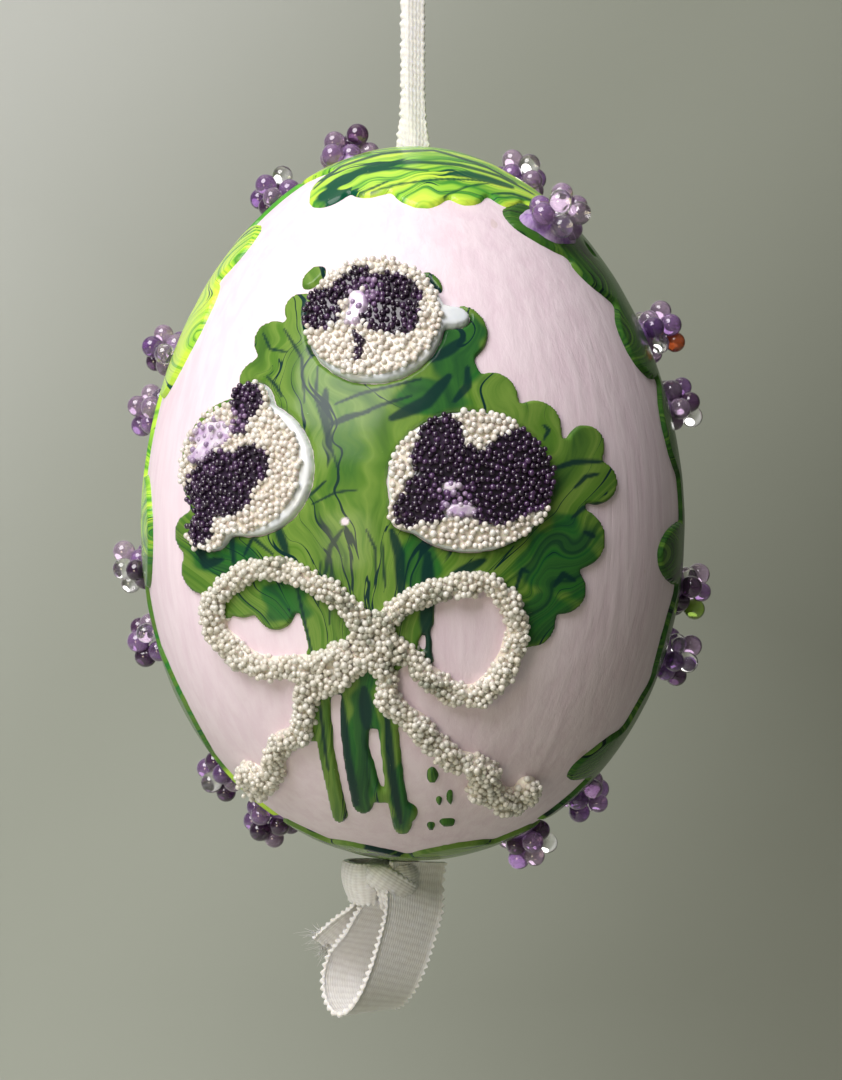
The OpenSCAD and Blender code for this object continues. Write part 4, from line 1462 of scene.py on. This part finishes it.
def paper_material():
    """Pale paper with painted light falloff: darker downwards and to the right, and a little lighter again on the
    floor.
    """
    m = Nodes("pale_paper")
    grain = m.noise(m.place(), 40, 3)
    tone = m.ramp(grain, [(0.3, srgb(192, 198, 192)), (0.7, srgb(196, 202, 196))])
    # Painted light falloff: the tone ramps from lit upper left to shaded lower right, with a small painted lift on the
    # floor
    x, _, z = m.split(m.place())
    rise = m.math("ADD", m.math("MULTIPLY", z, 1.6), m.math("MULTIPLY", x, -2.0))
    low = m.math("MULTIPLY", m.math("ADD", z, 0.2), -16.0, True)
    rise = m.math("ADD", rise, m.math("MULTIPLY", low, 0.12))
    shade = m.ramp(m.math("ADD", rise, 0.55, True), [
        (0.0, srgb(120, 122, 108)), (0.5, srgb(186, 190, 178)), (1.0, srgb(250, 252, 250))])
    m.colour(m.mix(0.88, tone, shade))
    m.set(Roughness=0.9, Specular_IOR_Level=0.1)
    return m.mat


def area_light(name, place, target, size, power, colour, shines=True):
    data = bpy.data.lights.new(name, "AREA")
    data.shape = "DISK"
    data.size = size
    data.energy = power
    data.color = colour
    lamp = new_object(name, data)
    lamp.location = place
    lamp.rotation_euler = (Vector(target) - Vector(place)).to_track_quat("-Z", "Y").to_euler()
    lamp.visible_camera = False
    lamp.visible_glossy = shines


def make_light():
    middle = (0, 0, EGG_Z * MM)
    area_light("key", (-0.21, -0.33, 0.25), middle, 0.4, 3.0, (1.0, 0.98, 0.98))
    area_light("fill", (-0.14, -0.3, -0.1), middle, 0.1, 0.13, (1.0, 0.9, 0.6))
    area_light("top", (-0.12, 0.0, 0.42), middle, 0.5, 0.5, (1.0, 0.94, 0.78))
    area_light("back", (0.12, 0.34, 0.12), middle, 0.3, 0.7, (1.0, 0.98, 0.96), shines=False)
    world = bpy.data.worlds.new("studio")
    world.use_nodes = True
    sky = world.node_tree.nodes["Background"].inputs
    sky["Color"].default_value = (0.95, 0.94, 0.82, 1)
    sky["Strength"].default_value = 0.15
    bpy.context.scene.world = world
    bpy.context.scene.view_settings.view_transform = "Standard"


# ---------- Everything ----------

make_camera()
make_ribbon()
ground_mesh(ground_material())
NODES["eggshell"].data.materials.clear()
give(NODES["eggshell"], shell_material())
make_enamel()
MATERIALS = bead_materials()
for flower in ("top", "left", "right"):
    make_pansy(flower, MATERIALS)
make_bow(MATERIALS)
make_clusters(MATERIALS)
stage_sheet()
make_light()

new_low, new_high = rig.bounds()
with open("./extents.json", "w") as out_file:
    json.dump({"cad": [list(cad_low), list(cad_high)], "visual": [list(new_low), list(new_high)]}, out_file)
